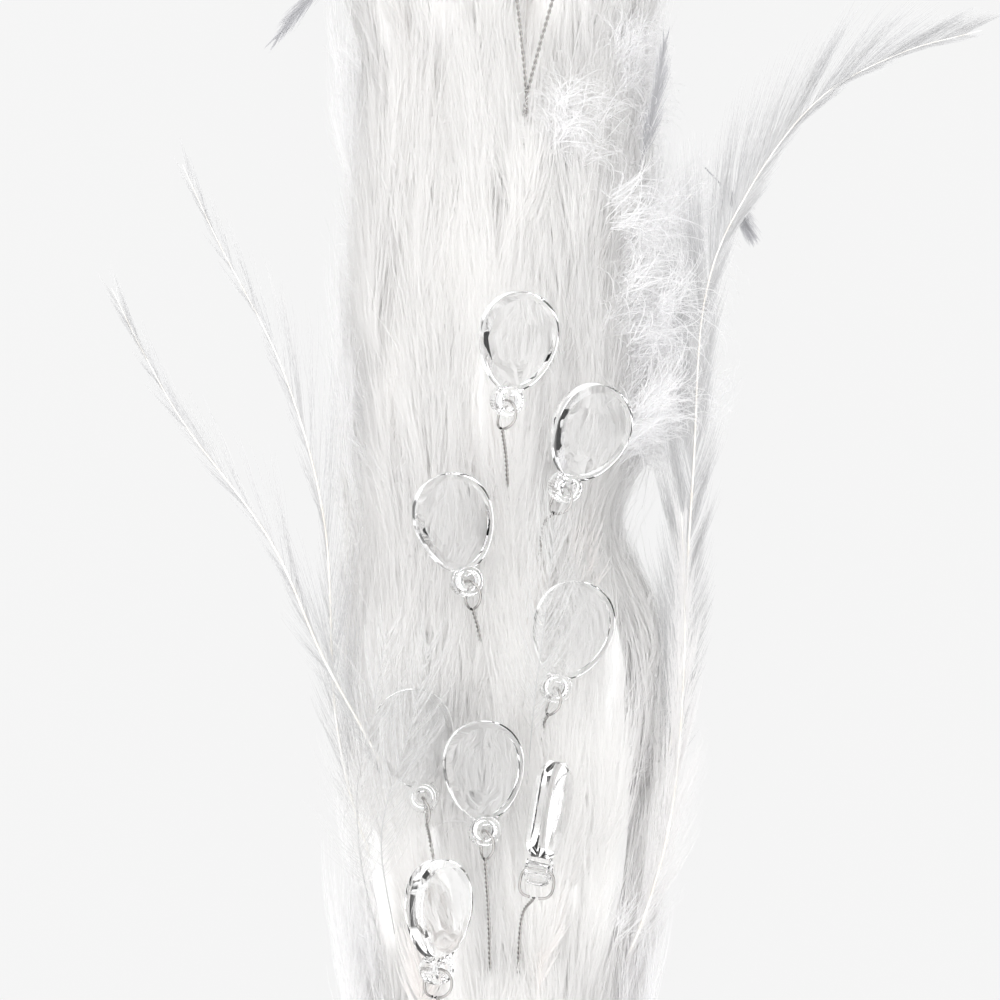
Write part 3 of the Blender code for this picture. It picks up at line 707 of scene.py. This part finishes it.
def build_down():
    """Curled down all round each spray, thicker at its sides, with straighter fringes along both edges."""
    for number in range(1, SPRAY_COUNT + 1):
        rng = np.random.default_rng(SEED + 200 + number)
        scale = size_of(number)
        width = 0.00007 if is_near(number) else 0.00018
        barbs = 46 if is_near(number) else 26
        everywhere = scattered(rng, 34, (-0.004, SPRAY_PITCH * scale), (-180.0, 180.0), (0.0215, 0.0245), 0.0)
        left = scattered(rng, 22, (0.0, SPRAY_PITCH * scale), (-112.0, -70.0), (0.0205, 0.0250), -0.25)
        right = scattered(rng, 22, (0.0, SPRAY_PITCH * scale), (62.0, 112.0), (0.0205, 0.0250), 0.35)
        parts = [tuft_strips(rng, number, everywhere, barbs, 7, (0.006, 0.013), (0.2, 1.6), (0.001, 0.006),
                             width, 0.26),
                 tuft_strips(rng, number, left, barbs, 7, (0.006, 0.012), (0.3, 1.8), (0.002, 0.006),
                             width, 0.24),
                 # Painted shade: the tufts on the right side get a deeper tint than those on the left.
                 tuft_strips(rng, number, right, barbs, 7, (0.006, 0.013), (0.4, 2.2), (0.002, 0.007),
                             width, 0.30)]
        if number == MIDDLE_SPRAY:
            cloud = scattered(rng, 72, (0.104, 0.150), (40.0, 100.0), (0.0240, 0.0330), 0.65)
            parts.append(tuft_strips(rng, number, cloud, 52, 8, (0.007, 0.015), (0.6, 2.6), (0.002, 0.011),
                                     width, 0.22))
        if number == MIDDLE_SPRAY + 1:
            cloud = scattered(rng, 22, (0.004, 0.028), (18.0, 84.0), (0.0235, 0.0270), 0.45)
            parts.append(tuft_strips(rng, number, cloud, 52, 8, (0.006, 0.012), (0.6, 2.6), (0.001, 0.006),
                                     width, 0.24))
        for way in (-1.0, 1.0):
            edge = scattered(rng, 34, (-0.008, 0.126 * scale), (70.0, 106.0), (0.0215, 0.0275), 0.10)
            edge[:, 1] *= way
            edge[:, 3] *= 0.4 * way
            parts.append(tuft_strips(rng, number, edge, barbs, 7, (0.012, 0.024), (0.0, 0.5), (0.0, 0.004),
                                     width, 0.22, 0.20))
        attach(mesh_piece("curled_down_%d" % number, parts, DOWN), number)


# --- Long feathers --------------------------------------------------------------------------------

def feather_strips(rng, line, side, barbs, points, span, lengths, splay, closing, width, shade):
    """Barbs along one side of a quill. Lengths are given at even steps of the barbed span."""
    tangents = unit(np.gradient(line, axis=0))
    across = unit(np.cross(tangents, UP))
    over = np.cross(across, tangents)
    share = np.sort(rng.uniform(0.0, 1.0, barbs))
    index = (span[0] + (span[1] - span[0]) * share) * (len(line) - 1)
    lower = np.minimum(index.astype(int), len(line) - 2)
    part = (index - lower)[:, None]
    root = line[lower] * (1.0 - part) + line[lower + 1] * part
    length = np.interp(share, np.linspace(0.0, 1.0, len(lengths)), lengths) * rng.uniform(0.75, 1.1, barbs)
    spread = np.radians(np.interp(share, (0.0, 1.0), splay)) * rng.uniform(0.8, 1.2, barbs)
    clump = 0.10 * np.sin(share * 60.0 + 2.0 * np.sin(share * 23.0))
    step = np.linspace(0.0, 1.0, points)[None, :]
    swing = rng.uniform(0.0, 0.10, barbs)
    phase = rng.uniform(0.0, 2.0 * math.pi, barbs)
    heading = (spread + clump)[:, None] * (1.0 - closing * step)
    heading = heading + swing[:, None] * np.sin(5.0 * step + phase[:, None])
    forward, aside = wander(length, heading)
    bow = rng.normal(0.0, 0.05, barbs) * length
    lines = root[:, None] + tangents[lower][:, None] * forward[..., None]
    lines = lines + across[lower][:, None] * (side * aside)[..., None]
    lines = lines + over[lower][:, None] * (bow[:, None] * step ** 2)[..., None]
    facing = unit(over[lower] + across[lower] * rng.normal(0.0, 0.5, barbs)[:, None])
    facing = np.broadcast_to(facing[:, None], lines.shape)
    widths = width * rng.uniform(0.7, 1.2, barbs)[:, None] * (1.0 - 0.75 * step ** 1.5)
    tints = np.clip(shade + rng.normal(0.0, 0.12, barbs), 0.0, 1.0)
    return strips(lines, facing, widths, tints)


# One side of a feather: the number of its barbs, their lengths along the feather and their spread in
# degrees. Each long feather: spray, points of its quill (reach, side, height), radius of its quill, and
# its left and right sides.
PLAIN_SIDE = (340, (0.014, 0.016, 0.014, 0.010, 0.005), (24.0, 10.0))
LEFT_LINE = ((0.014, -0.0080, 0.0300), (0.040, -0.0270, 0.0360), (0.066, -0.0320, 0.0380),
             (0.094, -0.0440, 0.0400), (0.114, -0.0600, 0.0420))
LONG_FEATHERS = {
    "hackle_left_low": (4, (
        (0.014, -0.0086, 0.0330), (0.030, -0.0140, 0.0440), (0.050, -0.0190, 0.0460),
        (0.071, -0.0300, 0.0440), (0.091, -0.0390, 0.0450), (0.110, -0.0530, 0.0460),
        (0.122, -0.0600, 0.0465), (0.134, -0.0660, 0.0460)), 0.00034,
        (340, (0.011, 0.012, 0.011, 0.009, 0.006), (14.0, 8.0)),
        (260, (0.022, 0.024, 0.022, 0.014, 0.007), (18.0, 10.0))),
    "hackle_left_high": (4, (
        (0.016, -0.0110, 0.0290), (0.036, -0.0220, 0.0370), (0.060, -0.0280, 0.0380),
        (0.094, -0.0300, 0.0390), (0.120, -0.0370, 0.0410), (0.142, -0.0480, 0.0430),
        (0.155, -0.0540, 0.0440)), 0.00030,
        (300, (0.011, 0.012, 0.011, 0.009, 0.005), (14.0, 8.0)),
        (260, (0.026, 0.028, 0.026, 0.016, 0.007), (18.0, 10.0))),
    "hackle_right_high": (4, (
        (0.016, 0.0100, 0.0260), (0.034, 0.0230, 0.0300), (0.060, 0.0300, 0.0320),
        (0.100, 0.0330, 0.0340), (0.132, 0.0350, 0.0370), (0.150, 0.0420, 0.0400),
        (0.166, 0.0540, 0.0420), (0.174, 0.0680, 0.0430), (0.178, 0.0820, 0.0430)), 0.00032,
        (1700, (0.010, 0.016, 0.020, 0.024, 0.025, 0.019, 0.008), (26.0, 12.0)),
        (1300, (0.008, 0.012, 0.013, 0.012, 0.010, 0.008, 0.004), (26.0, 11.0))),
    "hackle_right_low": (4, (
        (0.006, 0.0100, 0.0330), (0.018, 0.0210, 0.0400), (0.034, 0.0270, 0.0430),
        (0.050, 0.0300, 0.0430), (0.074, 0.0315, 0.0420), (0.096, 0.0310, 0.0410)), 0.00036,
        (420, (0.020, 0.022, 0.020, 0.014, 0.006), (14.0, 8.0)),
        (420, (0.016, 0.018, 0.015, 0.010, 0.005), (13.0, 8.0))),
    "hackle_tail": (1, (
        (0.014, 0.0080, 0.0300), (0.040, 0.0270, 0.0360), (0.070, 0.0320, 0.0380),
        (0.100, 0.0400, 0.0400), (0.126, 0.0560, 0.0420)), 0.00050, PLAIN_SIDE, PLAIN_SIDE),
    "hackle_top": (6, LEFT_LINE, 0.00050, PLAIN_SIDE, PLAIN_SIDE),
    "hackle_bottom": (2, LEFT_LINE, 0.00050, PLAIN_SIDE, PLAIN_SIDE),
}
QUILL_STEP = 0.0015
QUILL_TUCK = 0.014
TUCK_REACH = 0.065
QUILL_TIP = 0.00006
BARB_SPAN = (0.22, 0.985)
BARB_WIDTH = 0.00005
PALE_FEATHERS = ("hackle_right_low",)


def build_long_feathers():
    """Long feathers: a tapering quill, and fine barbs along both sides of it."""
    for order, (name, (number, laid, quill_radius, left, right)) in enumerate(LONG_FEATHERS.items()):
        rng = np.random.default_rng(SEED + 300 + order)
        reach, side, height = np.array(laid).T
        height = height - QUILL_TUCK * np.clip(1.0 - reach / TUCK_REACH, 0.0, 1.0)
        line = smooth_line(to_space(spray_base(number) + reach, side, height), QUILL_STEP)
        share = np.linspace(0.0, 1.0, len(line))
        radii = QUILL_TIP + (quill_radius - QUILL_TIP) * (1.0 - share) ** 0.8
        quill = mesh_piece(name + "_quill", [tube(line, radii, 8)], QUILL)
        fix(quill, "length_%d" % number)
        parts = []
        for way, (barbs, lengths, splay) in ((-1.0, left), (1.0, right)):
            parts.append(feather_strips(rng, line, way, barbs, 9, BARB_SPAN, lengths, splay, 0.45,
                                        BARB_WIDTH, 0.42))
        material = SPIKE if name in PALE_FEATHERS else HACKLE
        fix(mesh_piece(name + "_barbs", parts, material), "length_%d" % number, [name])


# Small feathers lying in the plumes: smooth vanes, and spiky hackles along the edges.
VANE_LENGTH = 0.046
VANE_BARBS = 95
VANE_WIDTH = 0.00022


def small_feather(number, reach, angle, radius, length, lean, rise):
    """Quill line of a small feather that lies along the boa from a place on the plumes."""
    step = np.linspace(0.0, 1.0, 12)
    turn = math.radians(angle) + lean * step * length / radius
    along = reach + step * length
    outward = (radius + rise * step ** 1.6) * waist(number, along, turn)
    return rounded(spray_base(number), along, turn, outward)


def build_vanes():
    """Smooth body feathers whose warm vanes show between the plumes."""
    for number in range(1, SPRAY_COUNT + 1):
        rng = np.random.default_rng(SEED + 400 + number)
        scale = size_of(number)
        count = 16 if number == MIDDLE_SPRAY else 9
        parts = []
        for _ in range(count):
            line = small_feather(number, rng.uniform(0.0, 0.110) * scale, rng.uniform(-50.0, 50.0),
                                 rng.uniform(0.0214, 0.0232), VANE_LENGTH * rng.uniform(0.7, 1.1) * scale,
                                 rng.normal(0.0, 0.12), 0.0015)
            parts.append(tube(line, np.linspace(0.00032, 0.00006, len(line)), 6, 0.8))
            for way in (-1.0, 1.0):
                parts.append(feather_strips(rng, line, way, VANE_BARBS, 6, (0.12, 0.99),
                                            np.array((0.007, 0.011, 0.012, 0.010, 0.004)) * scale,
                                            (36.0, 18.0), 0.5, VANE_WIDTH, rng.uniform(0.2, 0.6)))
        attach(mesh_piece("vanes_%d" % number, parts, VANE), number)


SPIKE_BARBS = 70
SPIKE_WIDTH = 0.00008


def build_edge_spikes():
    """Thin stiff hackle tips that stand out along both edges of each spray."""
    for number in range(1, SPRAY_COUNT + 1):
        rng = np.random.default_rng(SEED + 500 + number)
        scale = size_of(number)
        count = 30 if number == MIDDLE_SPRAY else 16
        parts = []
        for index in range(count):
            way = -1.0 if index % 3 == 0 else 1.0
            angle = way * rng.uniform(62.0, 104.0)
            line = small_feather(number, rng.uniform(-0.012, 0.080) * scale, angle, 0.0185,
                                 rng.uniform(0.030, 0.052) * scale, way * 0.02, rng.uniform(0.0065, 0.0110))
            parts.append(tube(line, np.linspace(0.00026, 0.00004, len(line)), 5, 0.75))
            for side in (-1.0, 1.0):
                parts.append(feather_strips(rng, line, side, SPIKE_BARBS, 6, (0.15, 0.99),
                                            np.array((0.010, 0.012, 0.011, 0.008, 0.004)) * scale,
                                            (17.0, 9.0), 0.5, SPIKE_WIDTH, 0.35))
        attach(mesh_piece("edge_hackles_%d" % number, parts, SPIKE), number)


def laid_line(number, laid):
    """Smooth line of a quill from its laid points (reach, side, height) in a spray."""
    reach, side, height = np.array(laid).T
    return smooth_line(to_space(spray_base(number) + reach, side, height), QUILL_STEP)


# Wisps that lie over two of the middle spray's drops: points of their quills (reach, side, height).
WISPS = (
    ((0.022, -0.0205, 0.0385), (0.036, -0.0235, 0.0480), (0.050, -0.0240, 0.0560), (0.062, -0.0215, 0.0595),
     (0.076, -0.0190, 0.0610)),
    ((0.024, -0.0180, 0.0410), (0.038, -0.0200, 0.0520), (0.047, -0.0190, 0.0585), (0.060, -0.0150, 0.0615),
     (0.074, -0.0120, 0.0625)),
    ((0.050, 0.0046, 0.0505), (0.058, 0.0052, 0.0545), (0.066, 0.0060, 0.0585), (0.074, 0.0070, 0.0612),
     (0.086, 0.0084, 0.0632), (0.096, 0.0092, 0.0640)),
)
WISP_QUILL = 0.00014
WISP_WIDTH = 0.000035

# Small stiff tips that stand out of the middle spray and the next one: spray and points of their quills.
TIPS = (
    (4, ((0.150, 0.0225, 0.0340), (0.164, 0.0262, 0.0380), (0.1762, 0.0281, 0.0400))),
    (4, ((0.1550, 0.0352, 0.0350), (0.1512, 0.0385, 0.0360), (0.1442, 0.0425, 0.0360))),
    (5, ((0.048, -0.0200, 0.0340), (0.037, -0.0300, 0.0360), (0.027, -0.0383, 0.0370))),
)


def build_tips():
    """Small hackle tips that stand out on their own."""
    rng = np.random.default_rng(SEED + 800)
    for order, (number, laid) in enumerate(TIPS):
        line = laid_line(number, laid)
        parts = [tube(line, np.linspace(WISP_QUILL, QUILL_TIP, len(line)), 5, 0.9)]
        for way in (-1.0, 1.0):
            parts.append(feather_strips(rng, line, way, 150, 6, (0.25, 0.99),
                                        (0.006, 0.007, 0.007, 0.005, 0.003), (16.0, 8.0),
                                        0.5, BARB_WIDTH, 0.9))
        attach(mesh_piece("hackle_tip_%d" % (order + 1), parts, HACKLE), number)


def build_wisps():
    """Wisps that half hide two of the drops."""
    parts = []
    rng = np.random.default_rng(SEED + 700)
    for laid in WISPS:
        line = laid_line(MIDDLE_SPRAY, laid)
        parts.append(tube(line, np.linspace(WISP_QUILL, QUILL_TIP, len(line)), 5, 0.3))
        for way in (-1.0, 1.0):
            parts.append(feather_strips(rng, line, way, 120, 8, (0.20, 0.985),
                                        (0.012, 0.017, 0.019, 0.015, 0.007), (36.0, 20.0),
                                        0.6, WISP_WIDTH, 0.1))
    attach(mesh_piece("wisps_%d" % MIDDLE_SPRAY, parts, HACKLE), MIDDLE_SPRAY)


# --- Drops and wires ------------------------------------------------------------------------------

DROP_LENGTH = 0.0168
DROP_WIDTH = 0.0132
DROP_HALF = 0.0030
DROP_TAPER = 0.16
GIRDLE_HALF = 0.0013
GIRDLE_POINTS = 48
FACET_COUNT = 8
BEVEL_SIZE = 0.86
BEVEL_HEIGHT = 0.0023
TABLE_SIZE = 0.48
NECK_RADIUS = 0.0028
NECK_HALF = 0.0021
HOLE_RADIUS = 0.0007
HOLE_TO_MIDDLE = 0.0100
STRAND_RADIUS = 0.00016
LOOP_RADIUS = 0.00023
TWIST_PITCH = 0.0022
LOOP_HALF_WIDTH = 0.0028
LOOP_HALF_LENGTH = 0.0024
LOOP_SQUARENESS = 3.2
LOOP_LEAN = 0.0010
STEM_RADIUS = 0.0278
DIVE_RADIUS = 0.0170
DIVE_LENGTH = 0.014

# Drops of the middle spray: reach, side and height of the hole, direction (degrees to the right), turn
# about its own length, and the reach and side where its stem goes in among the plumes.
MIDDLE_DROPS = {
    "drop_1": (0.1147, 0.0012, 0.0610, 10.0, -20.0, 0.1020, 0.0012),
    "drop_2": (0.1002, 0.0110, 0.0560, 24.0, -24.0, 0.0930, 0.0072),
    "drop_3": (0.0844, -0.0056, 0.0572, -12.0, -18.0, 0.0740, -0.0034),
    "drop_4": (0.0665, 0.0094, 0.0562, 16.0, -10.0, 0.0590, 0.0072),
    "drop_5": (0.0427, -0.0026, 0.0618, -1.0, -12.0, 0.0270, -0.0019),
    "drop_6": (0.0360, 0.0065, 0.0592, 10.0, -78.0, 0.0270, 0.0036),
    "drop_7": (0.0190, -0.0107, 0.0540, 2.0, -44.0, 0.0110, -0.0090),
    "drop_8": (0.0480, -0.0130, 0.0555, -8.0, 3.0, 0.0390, -0.0116),
}
# The fifth spray's two lowest stems come out of the plumes together.
FIFTH_DROPS = (
    (0.0470, 0.0012, 0.0560, -6.0, 5.0, 0.0170, 0.0044),
    (0.0460, 0.0126, 0.0545, 14.0, -5.0, 0.0165, 0.0046),
)


class DropFrame:
    """Place of a drop: its hole, the way that it points, its width and the axis of its hole."""

    def __init__(self, number, reach, side, height, pointing, turn):
        distance = np.array(spray_base(number) + reach)
        _, heading, right = route_frames(distance)
        self.hole = to_space(distance, side, height)
        angle = math.radians(pointing)
        roll = math.radians(turn)
        self.along = heading * math.cos(angle) + right * math.sin(angle)
        self.across = np.cross(self.along, UP) * math.cos(roll) + UP * math.sin(roll)
        self.through = np.cross(self.across, self.along)

    def points(self, along, across, through):
        """Points in space from distances along, across and through the drop."""
        return (self.hole + np.multiply.outer(along, self.along) + np.multiply.outer(across, self.across)
                + np.multiply.outer(through, self.through))


def drop_ring(mesh, size, through, count):
    """Ring of corners on the drop's oval, which is a little narrower at the neck."""
    ring = []
    for index in range(count):
        angle = 2.0 * math.pi * index / count
        width = 0.5 * DROP_WIDTH * math.sin(angle) * (1.0 + DROP_TAPER * math.cos(angle))
        along = HOLE_TO_MIDDLE + 0.5 * DROP_LENGTH * math.cos(angle) * size
        ring.append(mesh.verts.new((along, width * size, through)))
    return ring


def cut_face(mesh, girdle, side):
    """One face of a drop: a bevel round its rim, broad sloping facets and a flat table."""
    table = drop_ring(mesh, TABLE_SIZE, side * DROP_HALF, FACET_COUNT)
    bevel = drop_ring(mesh, BEVEL_SIZE, side * BEVEL_HEIGHT, GIRDLE_POINTS)
    share = GIRDLE_POINTS // FACET_COUNT
    mesh.faces.new(table)
    for index in range(GIRDLE_POINTS):
        after = (index + 1) % GIRDLE_POINTS
        mesh.faces.new((girdle[index], girdle[after], bevel[after], bevel[index]))
        nearest = table[((index + share // 2) // share) % FACET_COUNT]
        mesh.faces.new((nearest, bevel[index], bevel[after]))
    for index in range(FACET_COUNT):
        after = (index + 1) % FACET_COUNT
        mesh.faces.new((table[index], table[after], bevel[index * share + share // 2]))


def drop_solid():
    """Cut body of a drop."""
    mesh = bmesh.new()
    lower = drop_ring(mesh, 1.0, -GIRDLE_HALF, GIRDLE_POINTS)
    upper = drop_ring(mesh, 1.0, GIRDLE_HALF, GIRDLE_POINTS)
    for index in range(GIRDLE_POINTS):
        after = (index + 1) % GIRDLE_POINTS
        mesh.faces.new((lower[index], lower[after], upper[after], upper[index]))
    cut_face(mesh, lower, -1.0)
    cut_face(mesh, upper, 1.0)
    return mesh


def neck_solid():
    """Rounded neck of a drop with the hole for the wire."""
    mesh = bmesh.new()
    rings = []
    for index in range(28):
        angle = 2.0 * math.pi * index / 28
        ring = []
        for corner in range(12):
            turn = 2.0 * math.pi * corner / 12
            middle = 0.5 * (NECK_RADIUS + HOLE_RADIUS)
            radius = middle + 0.5 * (NECK_RADIUS - HOLE_RADIUS) * math.cos(turn)
            height = NECK_HALF * math.copysign(abs(math.sin(turn)) ** 0.7, math.sin(turn))
            ring.append(mesh.verts.new((radius * math.cos(angle), radius * math.sin(angle), height)))
        rings.append(ring)
    for index, ring in enumerate(rings):
        following = rings[(index + 1) % len(rings)]
        for corner in range(12):
            after = (corner + 1) % 12
            mesh.faces.new((ring[corner], ring[after], following[after], following[corner]))
    return mesh


def joined_shape(first, second):
    """Corners and triangles of the union of two solids."""
    holders = []
    for mesh in (first, second):
        bmesh.ops.recalc_face_normals(mesh, faces=mesh.faces)
        data = bpy.data.meshes.new("shape")
        mesh.to_mesh(data)
        mesh.free()
        holder = bpy.data.objects.new("shape", data)
        bpy.context.scene.collection.objects.link(holder)
        holders.append(holder)
    union = holders[0].modifiers.new("union", "BOOLEAN")
    union.operation = "UNION"
    union.solver = "EXACT"
    union.object = holders[1]
    bpy.context.view_layer.update()
    evaluated = holders[0].evaluated_get(bpy.context.evaluated_depsgraph_get())
    result = bmesh.new()
    result.from_mesh(evaluated.to_mesh())
    evaluated.to_mesh_clear()
    for holder in holders:
        bpy.data.objects.remove(holder, do_unlink=True)
    bmesh.ops.triangulate(result, faces=result.faces)
    verts = np.array([vert.co[:] for vert in result.verts])
    faces = [[vert.index for vert in face.verts] for face in result.faces]
    result.free()
    return verts, faces


DROP_SHAPE = joined_shape(drop_solid(), neck_solid())


def drop_piece(name, places):
    """One object of one or more cut drops."""
    verts, faces = DROP_SHAPE
    all_verts = np.concatenate([place.hole + verts @ np.stack([place.along, place.across, place.through])
                                for place in places])
    all_faces = [[index + len(verts) * number for index in face]
                 for number in range(len(places)) for face in faces]
    data = bpy.data.meshes.new(name)
    data.from_pydata(all_verts.tolist(), [], all_faces)
    data.shade_smooth()
    data.set_sharp_from_angle(angle=math.radians(9.0))
    data.materials.append(GLASS)
    made = bpy.data.objects.new(name, data)
    bpy.context.scene.collection.objects.link(made)
    mesh = bmesh.new()
    mesh.from_mesh(data)
    bmesh.ops.recalc_face_normals(mesh, faces=mesh.faces)
    mesh.to_mesh(data)
    mesh.free()
    return made


def loop_line(place, points):
    """Wire loop from the foot of the neck, through its hole and back to the foot."""
    angle = -0.5 * math.pi - 2.0 * math.pi * np.linspace(0.02, 0.98, points)
    power = 2.0 / LOOP_SQUARENESS
    sideways = np.sign(np.cos(angle)) * np.abs(np.cos(angle)) ** power
    upwards = np.sign(np.sin(angle)) * np.abs(np.sin(angle)) ** power
    lean = LOOP_LEAN * np.clip(sideways, 0.0, 1.0) * (1.0 - upwards) * (1.0 + upwards)
    return place.points(LOOP_HALF_LENGTH * (upwards - 1.0), lean, LOOP_HALF_WIDTH * sideways)


def stem_line(number, order, place, entry_reach, entry_side, step):
    """Middle of a stem, from the binding up through the plumes and on to the foot of its loop."""
    start_side = 0.0013 * (order - 3.5)
    entry_height = CORE_HEIGHT + math.sqrt(STEM_RADIUS ** 2 - entry_side ** 2)
    dive = max(entry_reach - DIVE_LENGTH, 0.35 * entry_reach)
    dive_side = entry_side * 0.8
    laid = [(0.004, start_side, CORE_HEIGHT + 0.0057),
            (0.5 * (dive + 0.004), 0.5 * (start_side + dive_side), CORE_HEIGHT + 0.012),
            (dive, dive_side, CORE_HEIGHT + DIVE_RADIUS),
            (entry_reach, entry_side, entry_height)]
    reach, side, height = np.array(laid).T
    points = to_space(spray_base(number) + reach, side, height)
    foot = place.points(-2.0 * LOOP_HALF_LENGTH, 0.0, 0.0)
    return smooth_line(np.vstack([points, foot]), step)


def wire_parts(number, order, numbers, fine):
    """Twisted stem and loop of one drop, with its place."""
    reach, side, height, pointing, turn, entry_reach, entry_side = numbers
    place = DropFrame(number, reach, side, height, pointing, turn)
    line = stem_line(number, order, place, entry_reach, entry_side, 0.00013 if fine else 0.00030)
    parts = twisted(line, STRAND_RADIUS, TWIST_PITCH, 2, 6 if fine else 4, order)
    parts.append(tube(loop_line(place, 40 if fine else 16), LOOP_RADIUS, 8 if fine else 4))
    return place, parts


def cluster_plan(number):
    """Drops of a spray whose drops are all joined to its own body: the middle spray's, laid afresh."""
    rng = np.random.default_rng(SEED + 600 + number)
    scale = LAST_SCALE + 0.05 if number == SPRAY_COUNT else 1.0
    flip = -1.0 if number % 2 else 1.0
    plan = []
    for reach, side, height, pointing, turn, entry_reach, entry_side in MIDDLE_DROPS.values():
        shift = rng.uniform(-0.004, 0.004)
        push = rng.uniform(-0.0015, 0.0015)
        plan.append(((reach + shift) * scale, side * flip + push, height - 0.0008, pointing * flip,
                     turn * rng.uniform(0.6, 1.4), (entry_reach + shift) * scale, entry_side * flip + push))
    if number == MIDDLE_SPRAY + 1:
        plan = plan[:4] + list(FIFTH_DROPS)
    return plan


def build_drops():
    """Drops and stems: the middle spray's drops swing one by one, and the others go with their spray."""
    for order, (name, numbers) in enumerate(MIDDLE_DROPS.items()):
        place, parts = wire_parts(MIDDLE_SPRAY, order, numbers, True)
        fix(drop_piece("cut_" + name, [place]), name, ["crystal_" + name])
        stem = mesh_piece("twisted_stem_" + name, parts, WIRE)
        fix(stem, "length_%d" % MIDDLE_SPRAY, ["stem_" + name])
    for number in range(1, SPRAY_COUNT + 1):
        if number == MIDDLE_SPRAY:
            continue
        places, wires = [], []
        for order, numbers in enumerate(cluster_plan(number)):
            place, parts = wire_parts(number, order, numbers, number == MIDDLE_SPRAY + 1)
            places.append(place)
            wires += parts
        body = "length_%d" % number
        fix(drop_piece("cut_drops_%d" % number, places), body, ["crystals_%d" % number])
        fix(mesh_piece("twisted_stems_%d" % number, wires, WIRE), body)


# --- Cord, bindings and knots ---------------------------------------------------------------------

HINGE_GAP = 0.0012
CORD_STRAND = 0.00138
CORD_LAY = 0.011
BINDING_START = 0.003
BINDING_LENGTH = 0.0096
BINDING_RADIUS = 0.0047
BINDING_TURNS = 15
THREAD_RADIUS = 0.00036
KNOT_LENGTH = 0.010
KNOT_GAP = 0.0004
KNOT_STRAND = 0.0016


def build_cord():
    """Three-strand cord in eight stretches that meet at the hinges."""
    for number in range(1, SPRAY_COUNT + 1):
        start = TAIL_END if number == 1 else spray_base(number) + 0.5 * HINGE_GAP
        end = HEAD_END if number == SPRAY_COUNT else spray_base(number + 1) - 0.5 * HINGE_GAP
        distance = np.linspace(start, end, round((end - start) / 0.0012))
        line = to_space(distance, np.zeros_like(distance), CORE_HEIGHT)
        piece = mesh_piece("cord_strands_%d" % number, twisted(line, CORD_STRAND, CORD_LAY, 3, 10), CORD)
        fix(piece, "length_%d" % number, ["cord_%d" % number])


def build_bindings():
    """Turns of thread that bind each spray to the cord."""
    for number in range(1, SPRAY_COUNT + 1):
        turn = np.linspace(0.0, 2.0 * math.pi * BINDING_TURNS, BINDING_TURNS * 22)
        distance = spray_base(number) + BINDING_START + BINDING_LENGTH * turn / turn[-1]
        radius = BINDING_RADIUS + 0.0002 * np.sin(turn * 0.37)
        line = to_space(distance, radius * np.sin(turn), CORE_HEIGHT + radius * np.cos(turn))
        piece = mesh_piece("binding_thread_%d" % number, [tube(line, THREAD_RADIUS, 6)], THREAD)
        fix(piece, "length_%d" % number, ["binding_%d" % number])


def build_knots():
    """Knot at each end of the cord: the cord's end passed through its own loop."""
    for name, end, way, body in (("tail", TAIL_END, -1.0, "length_1"), ("head", HEAD_END, 1.0, "length_8")):
        t = np.linspace(0.0, 2.0 * math.pi, 90)
        along = 0.5 * KNOT_LENGTH * (1.0 + 0.66 * np.sin(3.0 * t))
        round_x = (np.sin(t) + 2.0 * np.sin(2.0 * t)) / 3.0
        round_y = (np.cos(t) - 2.0 * np.cos(2.0 * t)) / 3.0
        distance = end + way * (KNOT_GAP + along)
        line = to_space(distance, 0.0042 * round_x, CORE_HEIGHT + 0.0042 * round_y)
        piece = mesh_piece("knotted_end_" + name, [tube(line, KNOT_STRAND, 12)], CORD)
        fix(piece, body, ["knot_" + name])


make_camera()
make_world()
make_key_light()
make_floor()
build_cord()
build_bindings()
build_knots()
build_plumes()
build_down()
build_vanes()
build_edge_spikes()
build_long_feathers()
build_wisps()
build_tips()
build_drops()

bpy.context.scene.view_settings.view_transform = "Standard"
